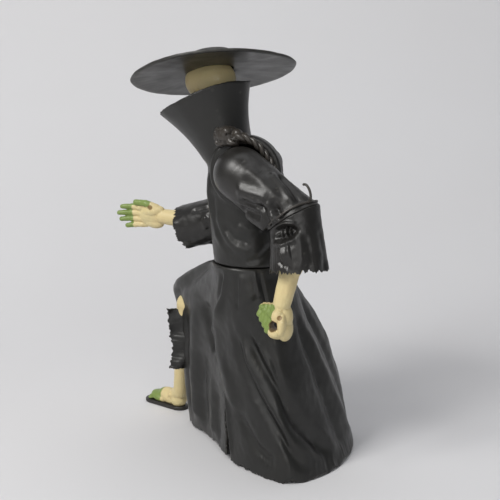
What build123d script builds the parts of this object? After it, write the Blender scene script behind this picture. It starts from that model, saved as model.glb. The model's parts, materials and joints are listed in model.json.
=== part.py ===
"""Hatted wanderer figure in a long moulded coat, about 127 mm tall.

The waist, neck, shoulders, elbows and hips turn on plain pins.
"""
from build123d import *
import os
from math import cos, sin, radians, hypot

# ---------------------------------------------------------------- driving dimensions, mm and degrees
# +Z is up, the figure faces -Y and its own left is +X.
# The origin is on the floor under the middle of the whole figure.
waist_x = 6.4           # the waist axis stands here, left of the middle
waist_y = 13.5          # and here, behind the middle
waist_height = 59.4     # floor to the seam under the waistband
torso_twist = 20.0      # the upper body is turned to its own left of the hips
coat_wall = 1.3

# coat skirt
waist_rx = 11.8
waist_ry = 11.4
deck = 2.0              # flat top of the skirt, inside the waistband
slit_width = 12.0       # between the skirt's two front edges
slit_top = 47.0
slit_side = 243.0       # direction of the slit, round from +X
hip_fold = 0.16         # share of the drop where the cloth leaves the hips

# waistband and the pins
band_height = 3.0
band_thick = 0.7
seam_gap = 0.05         # glue line
joint_gap = 0.3         # between faces that turn past each other
running_fit = 0.05      # radial, between a pin and the part that turns on it
pin_radius = 1.6
waist_pin_radius = 3.0
waist_pin_grip = 5.0    # of the pin inside the chest core
waist_pin_depth = 3.0   # of the pin inside the pelvis

# torso
torso_height = 34.0     # waist joint to the middle of the neck seam
neck_seam_tilt = 25.0   # the neck seam drops towards the chest
neck_seam_y = -7.0
neck_rx = 10.0
neck_ry = 7.8
torso_floor = 2.0
core_width = 14.0
core_depth = 14.0
core_y = -3.0
core_height = 30.5

# shoulders and arms
shoulder_x = 15.5       # middle of the sleeve's ball
shoulder_y = 1.4
shoulder_rise = 28.3    # waist joint to the middle of the sleeve's ball
ball_radius = 7.8
armhole_rim = 1.3
armhole_inner = 7.6     # the armhole's inner and outer faces, from the middle of the body
armhole_outer = 11.5
arm_splay = 13.0
left_swing = 56.0       # the upper arm, back from hanging straight down
right_swing = -31.0
upper_arm = 21.0
left_sleeve = 15.0      # elbow to the mouth of the cuff
right_sleeve = 21.0
elbow_radius = 7.0
left_elbow_bend = 48.0
right_elbow_bend = 43.0
elbow_pin_length = 8.0
left_cuff = 8.2         # radius of the cuff's mouth
right_cuff = 7.4
cuff_depth = 8.0
tie_radius = 0.8
arm_radius = 3.1
wrist_radius = 2.5
left_wrist_bend = 20.0
right_wrist_bend = 20.0
left_arm_length = 18.0  # from the sleeve's seat to the wrist
right_arm_length = 9.0
fist_height = 12.0
fist_width = 8.5
fist_depth = 10.0
grip_radius = 1.5
palm_length = 9.0
palm_width = 8.0
finger_length = 9.0
finger_radius = 1.1

# neck, head, hat and collar
neck_x = -2.5           # middle of the hat's seat, from the torso's middle
neck_y = -12.0
neck_lean_side = 13.0   # the head leans to its own right
neck_lean_front = 10.0
neck_radius = 2.0
neck_length = 31.5      # hat's seat down to the foot of the neck peg
head_radius = 6.8
head_height = 17.0
head_sink = 3.5         # how far the head stands up into the crown
brim_rise = 56.7        # waist joint to the middle of the brim's underside
brim_radius = 25.0
brim_thick = 1.0
brim_drop = 1.0         # the rim hangs this much below the crown's foot
crown_radius = 7.3
crown_height = 6.2
collar_rise = 15.2      # middle of the neck seam to the middle of the collar's top edge
collar_tilt = 20.0
collar_y = -14.0
collar_rx = 12.0
collar_ry = 14.8
collar_wall = 1.2

# shoulder trim
clasp_radius = 3.7
cord_radius = 0.9

# legs and feet
hip_height = 50.0
hip_x = 6.0             # middle of each hip eye
hip_eye = 4.4           # width of each hip eye
thigh_out = 0.6         # the thigh starts this far outside the middle of its eye
thigh_radius = 4.0
knee_radius = 4.2
ankle_radius = 2.5
foot_length = 19.5
foot_width = 7.4
foot_height = 5.2
sole = 1.3
right_knee = (-16.5, -34.0, 41.5)
right_ankle = (-21.0, -45.0, 6.5)
right_foot = (-22.7, -52.5)
right_foot_turn = -8.0
left_knee = (5.4, 8.5, 31.0)
left_ankle = (4.5, 13.0, 6.5)
left_foot = (4.5, 9.5)
left_foot_turn = 12.0

# ---------------------------------------------------------------- assembly frames
pelvis = Pos(waist_x, waist_y, 0)
torso_foot = waist_height + band_height + joint_gap
torso = pelvis * Pos(0, 0, torso_foot) * Rot(0, 0, torso_twist)
neck_seam = torso * Pos(0, neck_seam_y, torso_height) * Rot(neck_seam_tilt, 0, 0)
# the head and hat turn about this frame's own Z
hat_seat = torso * Pos(neck_x, neck_y, brim_rise)
hat_seat = hat_seat * Rot(neck_lean_front, 0, 0) * Rot(0, -neck_lean_side, 0)

os.makedirs("parts", exist_ok=True)


def save(piece, name):
    piece.part.label = name
    export_step(piece.part, f"parts/{name}.step")


def level(frame, height=0):
    """The frame's own horizontal plane at a height."""
    return Plane(frame).offset(height)


def across(frame, x, y, z):
    """A plane through a point of the frame, facing the frame's +X."""
    return Plane(frame * Pos(x, y, z) * Rot(0, 90, 0))


def spot(frame, x, y, z):
    return (frame * Pos(x, y, z)).position


def up_axis(frame):
    return Axis(frame.position, Plane(frame).z_dir)


def pin(plane, radius, length, mode=Mode.ADD):
    with BuildSketch(plane) as disc:
        Circle(radius)
    extrude(disc.sketch, amount=length, mode=mode)


def oval(plane, middle_y, rx, ry):
    with BuildSketch(plane) as section:
        with Locations((0, middle_y)):
            Ellipse(rx, ry)
    return section.sketch


def ball(at, radius, mode=Mode.ADD):
    with Locations(at):
        Sphere(radius, mode=mode)


def limb(start, end, start_radius, end_radius):
    """A tapered round limb with ball ends."""
    run = Vector(end) - Vector(start)
    foot = Plane(origin=start, z_dir=run)
    with BuildSketch(foot) as near_end:
        Circle(start_radius)
    with BuildSketch(foot.offset(run.length)) as far_end:
        Circle(end_radius)
    loft([near_end.sketch, far_end.sketch])
    ball(start, start_radius)
    ball(end, end_radius)


# ---------------------------------------------------------------- coat skirt and waistband
# Each fold line of the skirt: its direction at the waist, where its hem lies from the waist axis,
# how soon it springs out, and how far the knee pushes it out.
fold_lines = (
    (15, (14, 12), 1.5, 0),
    (60, (12, 24), 1.4, 0),
    (95, (-3, 29), 1.3, 0),
    (130, (-22, 25), 1.5, 0),
    (165, (-36, 14), 1.8, 0),
    (200, (-39, -8), 2.2, 0),
    (225, (-33, -27), 4.5, 0),
    (243, (-20, -38), 9, 4),
    (258, (-13, -35), 9, 5),
    (275, (-8, -29), 7, 3),
    (300, (0, -15), 3, 0),
    (335, (9, -2), 1.8, 0),
)


def skirt_ring(drop, inset):
    """Outline of the skirt at a share of its drop, moved inwards by inset."""
    ring = []
    for side, (hem_x, hem_y), spring, knee in fold_lines:
        top_x = waist_rx * cos(radians(side))
        top_y = waist_ry * sin(radians(side))
        out = 1 - (1 - drop) ** spring
        push = knee * sin(radians(180 * drop)) / hypot(hem_x, hem_y)
        ring.append((top_x + (hem_x - top_x) * out + hem_x * push,
                     top_y + (hem_y - top_y) * out + hem_y * push))
    moved = []
    for i, (x, y) in enumerate(ring):
        before = ring[i - 1]
        after = ring[(i + 1) % len(ring)]
        along = (after[0] - before[0], after[1] - before[1])
        length = hypot(*along)
        moved.append((x - along[1] / length * inset, y + along[0] / length * inset))
    return moved


def skirt_loft(inset, top_drop, mode):
    """The skirt's body down to the hem, following the fold lines."""
    rings = []
    for drop in (top_drop, hip_fold / 2, hip_fold, 2 * hip_fold, 4 * hip_fold, 0.82, 1):
        with BuildSketch(level(pelvis, waist_height * (1 - drop))) as ring:
            with BuildLine():
                Spline(*skirt_ring(drop, inset), periodic=True)
            make_face()
        rings.append(ring.sketch)
    loft(rings, mode=mode)


with BuildPart() as coat_skirt:
    skirt_loft(0, 0, Mode.ADD)
    skirt_loft(coat_wall, deck / waist_height, Mode.SUBTRACT)
    # the slit that the right leg steps out of
    slit_face = Plane(pelvis * Rot(0, 0, slit_side) * Rot(0, 90, 0)).offset(waist_rx + deck)
    with BuildSketch(slit_face):
        with Locations((-(slit_top - slit_width / 2) / 2, 0)):
            Rectangle(slit_top - slit_width / 2, slit_width)
        with Locations((-(slit_top - slit_width / 2), 0)):
            Circle(slit_width / 2)
    extrude(amount=60, mode=Mode.SUBTRACT)
    pin(level(pelvis, waist_height), waist_pin_radius + joint_gap, -2 * deck, Mode.SUBTRACT)
save(coat_skirt, "coat_skirt")

with BuildPart() as waistband:
    with BuildSketch(level(pelvis, waist_height)):
        Ellipse(waist_rx + band_thick, waist_ry + band_thick)
        Circle(waist_pin_radius + joint_gap, mode=Mode.SUBTRACT)
    extrude(amount=band_height)
save(waistband, "waistband")

# ---------------------------------------------------------------- pelvis, hip bar and legs
pelvis_top = waist_height - deck
pelvis_flange = pelvis_top - hip_height - thigh_radius - joint_gap
hanger_width = 2 * (hip_x - hip_eye / 2 - joint_gap)
with BuildPart() as pelvis_block:
    # a flange under the deck, and a hanger between the two hip eyes
    with BuildSketch(level(pelvis, pelvis_top)):
        Ellipse(waist_rx - 2 * coat_wall, waist_ry - 2 * coat_wall)
    extrude(amount=-pelvis_flange)
    with BuildSketch(level(pelvis, pelvis_top)):
        Rectangle(hanger_width, 2 * thigh_radius)
    extrude(amount=hip_height - thigh_radius - pelvis_top)
    pin(level(pelvis, pelvis_top), waist_pin_radius + running_fit, -waist_pin_depth, Mode.SUBTRACT)
    pin(across(pelvis, -waist_rx, 0, hip_height), pin_radius, 2 * waist_rx, Mode.SUBTRACT)
save(pelvis_block, "pelvis_block")

hip_bar_end = hip_x + hip_eye / 2 - 0.6
with BuildPart() as hip_bar:
    pin(across(pelvis, -hip_bar_end, 0, hip_height), pin_radius, 2 * hip_bar_end)
save(hip_bar, "hip_bar")


def sole_outline(foot, turn, height, trim=0):
    """Outline of a foot or its sole, heel behind and toes in front."""
    middle = pelvis * Pos(foot[0], foot[1], 0) * Rot(0, 0, turn)
    with BuildSketch(level(middle, height)) as outline:
        with Locations((0, -foot_length / 2 + foot_width / 2)):
            Circle(foot_width / 2 - trim)
        with Locations((0, foot_length / 2 - foot_width * 0.4)):
            Circle(foot_width * 0.4 - trim)
        make_hull()
    return outline.sketch


legs = (
    ("left", hip_x, left_knee, left_ankle, left_foot, left_foot_turn),
    ("right", -hip_x, right_knee, right_ankle, right_foot, right_foot_turn),
)
for side, eye_x, knee, ankle, foot, turn in legs:
    knee_at = spot(pelvis, *knee)
    ankle_at = spot(pelvis, *ankle)
    middle = pelvis * Pos(foot[0], foot[1], 0) * Rot(0, 0, turn)
    with BuildPart() as leg:
        pin(across(pelvis, eye_x - hip_eye / 2, 0, hip_height), thigh_radius, hip_eye)
        thigh_x = eye_x + (thigh_out if side == "left" else -thigh_out)
        limb(spot(pelvis, thigh_x, 0, hip_height), knee_at, hip_eye / 2, knee_radius)
        limb(knee_at, ankle_at, knee_radius, ankle_radius)
        # the foot, thinner at the toes
        extrude(sole_outline(foot, turn, sole, 0.4), amount=foot_height - sole, taper=14)
        toe_cut = Plane(middle * Pos(0, -foot_length * 0.1, foot_height) * Rot(16, 0, 0))
        with BuildSketch(toe_cut):
            with Locations((0, -foot_length / 2)):
                Rectangle(2 * foot_width, foot_length)
        extrude(amount=foot_height, mode=Mode.SUBTRACT)
        limb(ankle_at, spot(middle, 0, foot_length * 0.12, sole + ankle_radius), ankle_radius, ankle_radius)
        pin(across(pelvis, -waist_rx, 0, hip_height), pin_radius + running_fit, 2 * waist_rx, Mode.SUBTRACT)
    save(leg, f"{side}_leg")

    with BuildPart() as sandal:
        extrude(sole_outline(foot, turn, 0), amount=sole)
    save(sandal, f"{side}_sandal")

# ---------------------------------------------------------------- torso shell and its core
# height above the waist joint, middle, half width and half depth
torso_sections = (
    (0, 0.6, 11.6, 11.4),
    (11, -0.6, 11.4, 11.6),
    (21.5, -1.3, 11.3, 11.9),
    (28.5, -1.8, 11.0, 10.9),
)


def torso_loft(inset, mode):
    """The torso's outside, or its hollow, which starts on the floor and runs out past the neck."""
    sections = []
    for height, middle_y, rx, ry in torso_sections:
        foot = torso_floor if inset else 0
        sections.append(oval(level(torso, max(height, foot)), middle_y, rx - inset, ry - inset))
    sections.append(oval(level(neck_seam, inset), 0, neck_rx - inset, neck_ry - inset))
    loft(sections, mode=mode)


armhole = ball_radius + joint_gap
with BuildPart() as coat_torso:
    torso_loft(0, Mode.ADD)
    torso_loft(coat_wall, Mode.SUBTRACT)
    for outward in (-1, 1):
        plane = across(torso, outward * armhole_inner, shoulder_y, shoulder_rise)
        depth = outward * (armhole_outer - armhole_inner)
        pin(plane, armhole + armhole_rim, depth)
        pin(plane, armhole, 2 * depth, Mode.SUBTRACT)
    pin(level(torso), waist_pin_radius, torso_floor, Mode.SUBTRACT)
save(coat_torso, "coat_torso")

with BuildPart() as chest_core:
    # a post that keeps clear of the coat all round
    torso_loft(coat_wall + joint_gap, Mode.ADD)
    with BuildSketch(level(torso, torso_floor)):
        with Locations((0, core_y)):
            RectangleRounded(core_width, core_depth, 2)
    extrude(amount=core_height - torso_floor, mode=Mode.INTERSECT)
    pin(level(torso, torso_floor), waist_pin_radius, waist_pin_grip, Mode.SUBTRACT)
    pin(across(torso, -core_width, shoulder_y, shoulder_rise), pin_radius, 2 * core_width, Mode.SUBTRACT)
    pin(level(hat_seat, -neck_length), neck_radius, neck_length, Mode.SUBTRACT)
save(chest_core, "chest_core")

with BuildPart() as waist_pin:
    # pressed into the torso's floor and its core, turning in the pelvis
    pin(level(torso, torso_floor + waist_pin_grip), waist_pin_radius,
        -(torso_floor + waist_pin_grip + band_height + deck + waist_pin_depth))
save(waist_pin, "waist_pin")

# ---------------------------------------------------------------- neck peg, collar, head and hat
head_bottom = head_height - head_sink
with BuildPart() as neck_peg:
    pin(level(hat_seat, -neck_length), neck_radius, neck_length - head_bottom / 2)
save(neck_peg, "neck_peg")


def collar_loft(inset, mode):
    low = oval(level(neck_seam, seam_gap), 0, neck_rx - inset, neck_ry - inset)
    rim = torso * Pos(0, collar_y, torso_height + collar_rise) * Rot(collar_tilt, 0, 0)
    high = oval(level(rim), 0, collar_rx - inset, collar_ry - inset)
    loft([low, high], mode=mode)


with BuildPart() as coat_collar:
    collar_loft(0, Mode.ADD)
    collar_loft(collar_wall, Mode.SUBTRACT)
    # notched over the rims of the armholes
    for outward in (-1, 1):
        pin(across(torso, outward * (armhole_inner - seam_gap), shoulder_y, shoulder_rise),
            armhole + armhole_rim + seam_gap, outward * 2 * armhole_inner, Mode.SUBTRACT)
save(coat_collar, "coat_collar")

with BuildPart() as head:
    with BuildSketch(Plane(hat_seat * Rot(90, 0, 0))) as profile:
        with Locations((0, head_sink - head_height / 2)):
            Ellipse(head_radius, head_height / 2)
        with Locations((-head_radius, head_sink - head_height / 2)):
            Rectangle(2 * head_radius, head_height, mode=Mode.SUBTRACT)
    revolve(profile.sketch, axis=up_axis(hat_seat))
    ball(spot(hat_seat, 0, -head_radius, -head_height / 2 + 2), 1.1)
    pin(level(hat_seat, -neck_length), neck_radius + running_fit,
        neck_length - head_bottom / 2 + joint_gap, Mode.SUBTRACT)
save(head, "head")

with BuildPart() as hat:
    with BuildSketch(Plane(hat_seat * Rot(90, 0, 0))) as profile:
        with BuildLine():
            Polyline(
                (0, crown_height - brim_thick),
                (crown_radius - brim_thick, crown_height - brim_thick),
                (crown_radius - brim_thick, 0),
                (brim_radius, -brim_drop),
                (brim_radius, brim_thick - brim_drop),
                (crown_radius, brim_thick),
                (crown_radius, crown_height),
                (0, crown_height),
                close=True,
            )
        make_face()
    revolve(profile.sketch, axis=up_axis(hat_seat))
save(hat, "hat")

# ---------------------------------------------------------------- arms
arms = (
    ("left", 1, left_swing, left_elbow_bend, left_sleeve, left_cuff, left_wrist_bend, left_arm_length),
    ("right", -1, right_swing, right_elbow_bend, right_sleeve, right_cuff, right_wrist_bend, right_arm_length),
)


def tie_ring(elbow, radius, mode=Mode.ADD):
    """A cord ring round the sleeve just above the elbow's seam."""
    with BuildSketch(Plane(elbow * Pos(0, 0, 2 * tie_radius) * Rot(90, 0, 0))) as section:
        with Locations((elbow_radius + tie_radius / 2, 0)):
            Circle(radius)
    revolve(section.sketch, axis=up_axis(elbow), mode=mode)


for side, outward, swing, elbow_bend, sleeve_length, cuff_radius, wrist_bend, arm_length in arms:
    cuff_floor = sleeve_length - cuff_depth
    shoulder = torso * Pos(outward * shoulder_x, shoulder_y, shoulder_rise)
    upper = shoulder * Rot(swing, 0, 0) * Rot(0, -outward * arm_splay, 0)
    # the elbow's seam lies half way round the bend
    elbow = upper * Pos(0, 0, -upper_arm) * Rot(-elbow_bend / 2, 0, 0)
    lower = elbow * Rot(-elbow_bend / 2, 0, 0)
    wrist = lower * Pos(0, 0, -cuff_floor) * Rot(-wrist_bend, 0, 0) * Pos(0, 0, -arm_length)

    with BuildPart() as upper_sleeve:
        ball(shoulder.position, ball_radius)
        loft([
            oval(level(upper, -1), 0, ball_radius - 0.2, ball_radius - 0.2),
            oval(level(upper, -upper_arm / 2), 0, elbow_radius + 0.3, elbow_radius + 0.6),
            oval(level(elbow, joint_gap / 2), 0, elbow_radius, elbow_radius + 0.4),
        ])
        # flat on the side of the body, beyond the armhole's rim
        split(bisect_by=across(torso, outward * (armhole_outer + joint_gap), 0, 0),
              keep=Keep.TOP if outward > 0 else Keep.BOTTOM)
        pin(across(torso, outward * (armhole_inner + joint_gap), shoulder_y, shoulder_rise), ball_radius,
            outward * (shoulder_x - armhole_inner - joint_gap))
        pin(across(torso, outward * armhole_inner, shoulder_y, shoulder_rise), pin_radius + running_fit,
            outward * (shoulder_x - armhole_inner + 2.3), Mode.SUBTRACT)
        pin(level(elbow, -1), pin_radius, elbow_pin_length / 2 + 1, Mode.SUBTRACT)
        if side == "left":
            tie_ring(elbow, tie_radius, Mode.SUBTRACT)
    save(upper_sleeve, f"{side}_upper_sleeve")

    with BuildPart() as shoulder_pin:
        pin(across(torso, outward * 1, shoulder_y, shoulder_rise), pin_radius,
            outward * (shoulder_x + 1))
    save(shoulder_pin, f"{side}_shoulder_pin")

    with BuildPart() as lower_sleeve_part:
        loft([
            oval(level(elbow, -joint_gap / 2), 0, elbow_radius, elbow_radius + 0.4),
            oval(level(lower, -cuff_floor), 0, elbow_radius + 0.2, elbow_radius + 0.2),
            oval(level(lower, -sleeve_length), 0, cuff_radius, cuff_radius),
        ])
        loft([
            oval(level(lower, -cuff_floor), 0, elbow_radius - coat_wall, elbow_radius - coat_wall),
            oval(level(lower, -sleeve_length - 0.1), 0, cuff_radius - coat_wall, cuff_radius - coat_wall),
        ], mode=Mode.SUBTRACT)
        pin(level(elbow, 1), pin_radius + running_fit, -elbow_pin_length / 2 - 1.3, Mode.SUBTRACT)
    save(lower_sleeve_part, f"{side}_lower_sleeve")

    with BuildPart() as elbow_pin:
        pin(level(elbow, elbow_pin_length / 2), pin_radius, -elbow_pin_length)
    save(elbow_pin, f"{side}_elbow_pin")

    with BuildPart() as forearm:
        # a root disc fills the bottom of the cuff
        pin(level(lower, -cuff_floor), elbow_radius - coat_wall, -1.5)
        limb(spot(lower, 0, 0, -cuff_floor - arm_radius), wrist.position, arm_radius, wrist_radius)
        if side == "left":
            # a closed fist with a grip hole from side to side
            with BuildSketch(level(wrist, wrist_radius)) as knuckles:
                RectangleRounded(fist_width, fist_depth, 3)
            extrude(knuckles.sketch, amount=-fist_height)
            fillet(forearm.faces().sort_by(up_axis(wrist))[0].edges(), 2)
            pin(Plane(wrist * Pos(-fist_width, 0, -fist_height / 2) * Rot(0, 90, 0)), grip_radius,
                2 * fist_width, Mode.SUBTRACT)
        else:
            # an open palm with four straight fingers and a raised thumb
            with BuildSketch(level(wrist, 1)) as palm:
                RectangleRounded(3.6, palm_width, 1.5)
            extrude(palm.sketch, amount=-palm_length)
            for i in range(4):
                y = (i - 1.5) * (palm_width - 2 * finger_radius) / 3
                limb(spot(wrist, 0, y, -palm_length + 1), spot(wrist, 0, y * 1.15, -palm_length - finger_length + 1),
                     finger_radius, finger_radius * 0.8)
            limb(spot(wrist, 0, palm_width / 2 - 1, -2), spot(wrist, 0, palm_width / 2 + 2.2, -palm_length + 0.5),
                 finger_radius + 0.3, finger_radius)
    save(forearm, f"{side}_forearm")

    if side == "left":
        with BuildPart() as elbow_tie:
            tie_ring(elbow, tie_radius)
        save(elbow_tie, "left_elbow_tie")

# ---------------------------------------------------------------- trim on the left shoulder
trim_radius = armhole + armhole_rim
with BuildPart() as shoulder_clasp:
    ball(spot(torso, shoulder_x - 1.5, shoulder_y - 5.5, shoulder_rise + trim_radius + 0.5), clasp_radius)
    pin(across(torso, 0, shoulder_y, shoulder_rise), trim_radius, 40, Mode.SUBTRACT)
save(shoulder_clasp, "shoulder_clasp")

with BuildPart() as shoulder_cord:
    with BuildSketch(Plane(torso * Pos(armhole_outer - cord_radius, shoulder_y, shoulder_rise))) as section:
        with Locations((0, trim_radius + cord_radius)):
            Circle(cord_radius)
    revolve(section.sketch, axis=Axis(spot(torso, 0, shoulder_y, shoulder_rise), Plane(torso).x_dir),
            revolution_arc=75)
save(shoulder_cord, "shoulder_cord")
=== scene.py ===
import bpy, bmesh, json, math, random
from mathutils import Vector, Matrix, noise


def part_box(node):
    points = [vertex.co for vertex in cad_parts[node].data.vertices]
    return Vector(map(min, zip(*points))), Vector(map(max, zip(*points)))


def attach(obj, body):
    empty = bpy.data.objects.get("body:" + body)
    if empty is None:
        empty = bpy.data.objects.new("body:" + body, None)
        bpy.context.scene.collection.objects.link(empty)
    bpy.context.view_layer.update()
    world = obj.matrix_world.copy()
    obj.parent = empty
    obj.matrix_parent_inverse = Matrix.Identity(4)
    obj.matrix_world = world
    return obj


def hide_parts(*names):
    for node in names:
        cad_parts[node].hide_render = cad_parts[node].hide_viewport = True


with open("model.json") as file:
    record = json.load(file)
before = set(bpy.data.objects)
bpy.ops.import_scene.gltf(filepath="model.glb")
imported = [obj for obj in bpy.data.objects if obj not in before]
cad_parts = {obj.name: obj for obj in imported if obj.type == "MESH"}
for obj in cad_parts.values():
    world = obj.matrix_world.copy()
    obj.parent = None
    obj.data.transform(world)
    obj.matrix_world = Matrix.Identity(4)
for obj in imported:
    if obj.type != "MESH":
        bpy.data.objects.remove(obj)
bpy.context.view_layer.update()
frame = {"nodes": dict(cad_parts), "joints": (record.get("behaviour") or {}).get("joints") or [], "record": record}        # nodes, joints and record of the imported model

mm = 0.001

print("reading the joints")
joints = {j["name"]: j for j in frame["joints"]}
mounts = {m["name"]: m for m in frame["record"]["mounts"]}


def jointPlace(name):
    return Vector(joints[name]["pos_m"])


def jointAxis(name):
    return Vector(joints[name]["axis"]).normalized()


def frameOf(origin, xAxis, zAxis):
    # a right-handed frame as a matrix, from its origin, its z and roughly its x
    z = zAxis.normalized()
    y = z.cross(xAxis).normalized()
    x = y.cross(z)
    out = Matrix((x, y, z)).transposed().to_4x4()
    out.translation = origin
    return out


def shiftBy(x, y, z):
    # a move in millimetres
    return Matrix.Translation(Vector((x, y, z)) * mm)


def turnBy(angle, axis):
    # a turn in degrees
    return Matrix.Rotation(math.radians(angle), 4, axis)


up = Vector((0, 0, 1))
waistAxis = jointPlace("waist_turn")
hips = frameOf(Vector((waistAxis.x, waistAxis.y, 0)), Vector((1, 0, 0)), up)
torso = frameOf(Vector((waistAxis.x, waistAxis.y, 0)), jointAxis("left_shoulder_swing"), up)
hatFrame = frameOf(jointPlace("neck_turn"), jointAxis("left_shoulder_swing"), jointAxis("neck_turn"))

armBend = {"left": 48.0, "right": 43.0}


def armFrames(side):
    # upper and lower arm frames: z runs up the arm, x to the figure's left, y backwards
    shoulder = jointPlace(side + "_shoulder_swing")
    elbow = jointPlace(side + "_elbow_turn")
    seam = jointAxis(side + "_elbow_turn")
    upAxis = (shoulder - elbow).normalized()
    xAxis = seam.cross(upAxis).normalized()
    lowAxis = 2 * seam.dot(upAxis) * seam - upAxis
    return {
        "shoulder": frameOf(shoulder, xAxis, upAxis),
        "seam": frameOf(elbow, xAxis, seam),
        "lower": frameOf(elbow, xAxis, lowAxis),
        "length": (shoulder - elbow).length,
    }


arms = {side: armFrames(side) for side in ("left", "right")}


# ---- small tools for meshes
def makePiece(name, bm, body, material, nodes=()):
    mesh = bpy.data.meshes.new(name)
    bm.normal_update()
    bm.to_mesh(mesh)
    bm.free()
    for face in mesh.polygons:
        face.use_smooth = True
    piece = bpy.data.objects.new(name, mesh)
    bpy.context.scene.collection.objects.link(piece)
    mesh.materials.append(material)
    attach(piece, body)
    if nodes:
        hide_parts(*nodes)
    return piece


def useModifier(piece, kind, **values):
    mod = piece.modifiers.new(kind.lower(), kind)
    for key, value in values.items():
        setattr(mod, key, value)
    depsgraph = bpy.context.evaluated_depsgraph_get()
    mesh = bpy.data.meshes.new_from_object(piece.evaluated_get(depsgraph))
    piece.modifiers.clear()
    old = piece.data
    piece.data = mesh
    bpy.data.meshes.remove(old)
    for face in mesh.polygons:
        face.use_smooth = True


def gridMesh(bm, rows, closed=True):
    # quads between rows of points, closed round or open
    made = [[bm.verts.new(p) for p in row] for row in rows]
    count = len(rows[0])
    for above, below in zip(made, made[1:]):
        for i in range(count if closed else count - 1):
            k = (i + 1) % count
            bm.faces.new((above[i], below[i], below[k], above[k]))
    return made


def capRow(bm, row, flip=False):
    centre = bm.verts.new(sum((v.co for v in row), Vector()) / len(row))
    for i in range(len(row)):
        a, b = row[i], row[(i + 1) % len(row)]
        bm.faces.new((centre, b, a) if flip else (centre, a, b))


def closeTube(bm, rows, flip=True):
    # a tube with both ends capped; flip turns over the first cap, otherwise the last
    made = gridMesh(bm, rows)
    capRow(bm, made[0], flip)
    capRow(bm, made[-1], not flip)


def ringIn(place, centre, radii, z, steps=96):
    return [place @ (Vector((centre[0] + radii[0] * math.cos(a), centre[1] + radii[1] * math.sin(a), z)) * mm)
            for a in (2 * math.pi * i / steps for i in range(steps))]


def addLimb(bm, start, end, startRadius, endRadius, steps=20):
    # a tapered limb with round ends, as one closed tube
    start, end = Vector(start), Vector(end)
    run = end - start
    side = run.orthogonal().normalized()
    other = run.normalized().cross(side)
    rows = []
    for end0, radius, angles in ((start, startRadius, range(-90, 1, 15)), (end, endRadius, range(0, 91, 15))):
        for a in angles:
            lift = math.sin(math.radians(a)) * radius
            wide = max(math.cos(math.radians(a)) * radius, radius * 0.02)
            centre = end0 + run.normalized() * lift
            rows.append([centre + (side * math.cos(2 * math.pi * i / steps) +
                                   other * math.sin(2 * math.pi * i / steps)) * wide for i in range(steps)])
    closeTube(bm, rows)


def addEgg(bm, place, radii, steps=24):
    # an ellipsoid: place is a frame, radii its half sizes
    rows = []
    for k in range(1, steps // 2):
        tall = math.pi * k / (steps // 2)
        rows.append([place @ Vector((radii[0] * math.sin(tall) * math.cos(2 * math.pi * i / steps),
                                     radii[1] * math.sin(tall) * math.sin(2 * math.pi * i / steps),
                                     -radii[2] * math.cos(tall))) for i in range(steps)])
    closeTube(bm, rows)


def bumpy(point, scale, seed=0):
    return noise.noise(Vector(point) * scale + Vector((seed * 7.3, seed * 3.1, seed * 1.7)))


def smoothStep(low, high, value):
    t = min(1, max(0, (value - low) / (high - low)))
    return t * t * (3 - 2 * t)


def curvePoint(a, b, c, d, t):
    # a smooth curve from b to c, with a before them and d after
    return 0.5 * (2 * b + (c - a) * t + (2 * a - 5 * b + 4 * c - d) * t * t + (3 * b - a - 3 * c + d) * t ** 3)


def raggedEdge(count, seed, coarse, fine):
    # a torn edge: one height for each column, from broad tears and small nicks
    rng = random.Random(seed)
    heights = [0.0] * count
    for size, span in ((coarse, max(4, count // 22)), (fine, max(3, count // 70))):
        at = 0
        while at < count:
            wide = max(3, int(span * rng.uniform(0.5, 1.5)))
            tall = size * rng.uniform(0.1, 1.0)
            lean = rng.uniform(0.25, 0.8)
            for k in range(wide):
                s = k / wide
                rise = s / lean if s < lean else (1 - s) / (1 - lean)
                if at + k < count:
                    heights[at + k] += tall * rise
            at += wide
    return heights


# ---- shared shader groups
def newGroup(name, inputs, outputs):
    group = bpy.data.node_groups.new(name, "ShaderNodeTree")
    for label, kind, value in inputs:
        socket = group.interface.new_socket(name=label, in_out="INPUT", socket_type=kind)
        if value is not None:
            socket.default_value = value
    for label, kind in outputs:
        group.interface.new_socket(name=label, in_out="OUTPUT", socket_type=kind)
    return group, group.nodes.new("NodeGroupInput"), group.nodes.new("NodeGroupOutput")


def addNoise(tree, vector, scale, detail=4, rough=0.55):
    node = tree.nodes.new("ShaderNodeTexNoise")
    node.inputs["Detail"].default_value = detail
    node.inputs["Roughness"].default_value = rough
    tree.links.new(vector, node.inputs["Vector"])
    if isinstance(scale, (int, float)):
        node.inputs["Scale"].default_value = scale
    else:
        tree.links.new(scale, node.inputs["Scale"])
    return node


def addMap(tree, value, low, high, toLow=0, toHigh=1):
    node = tree.nodes.new("ShaderNodeMapRange")
    tree.links.new(value, node.inputs["Value"])
    for label, number in (("From Min", low), ("From Max", high), ("To Min", toLow), ("To Max", toHigh)):
        node.inputs[label].default_value = number
    return node.outputs["Result"]


def addMath(tree, kind, a, b):
    node = tree.nodes.new("ShaderNodeMath")
    node.operation = kind
    for socket, value in ((node.inputs[0], a), (node.inputs[1], b)):
        if isinstance(value, (int, float)):
            socket.default_value = value
        else:
            tree.links.new(value, socket)
    return node.outputs[0]


def addMix(tree, factor, a, b, blend="MIX"):
    node = tree.nodes.new("ShaderNodeMix")
    node.data_type = "RGBA"
    node.blend_type = blend
    for socket, value in ((node.inputs["Factor"], factor), (node.inputs["A"], a), (node.inputs["B"], b)):
        if isinstance(value, (int, float)) or isinstance(value, tuple):
            socket.default_value = value
        else:
            tree.links.new(value, socket)
    return node.outputs["Result"]


def objectCoords(tree):
    return tree.nodes.new("ShaderNodeTexCoord").outputs["Object"]


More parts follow.
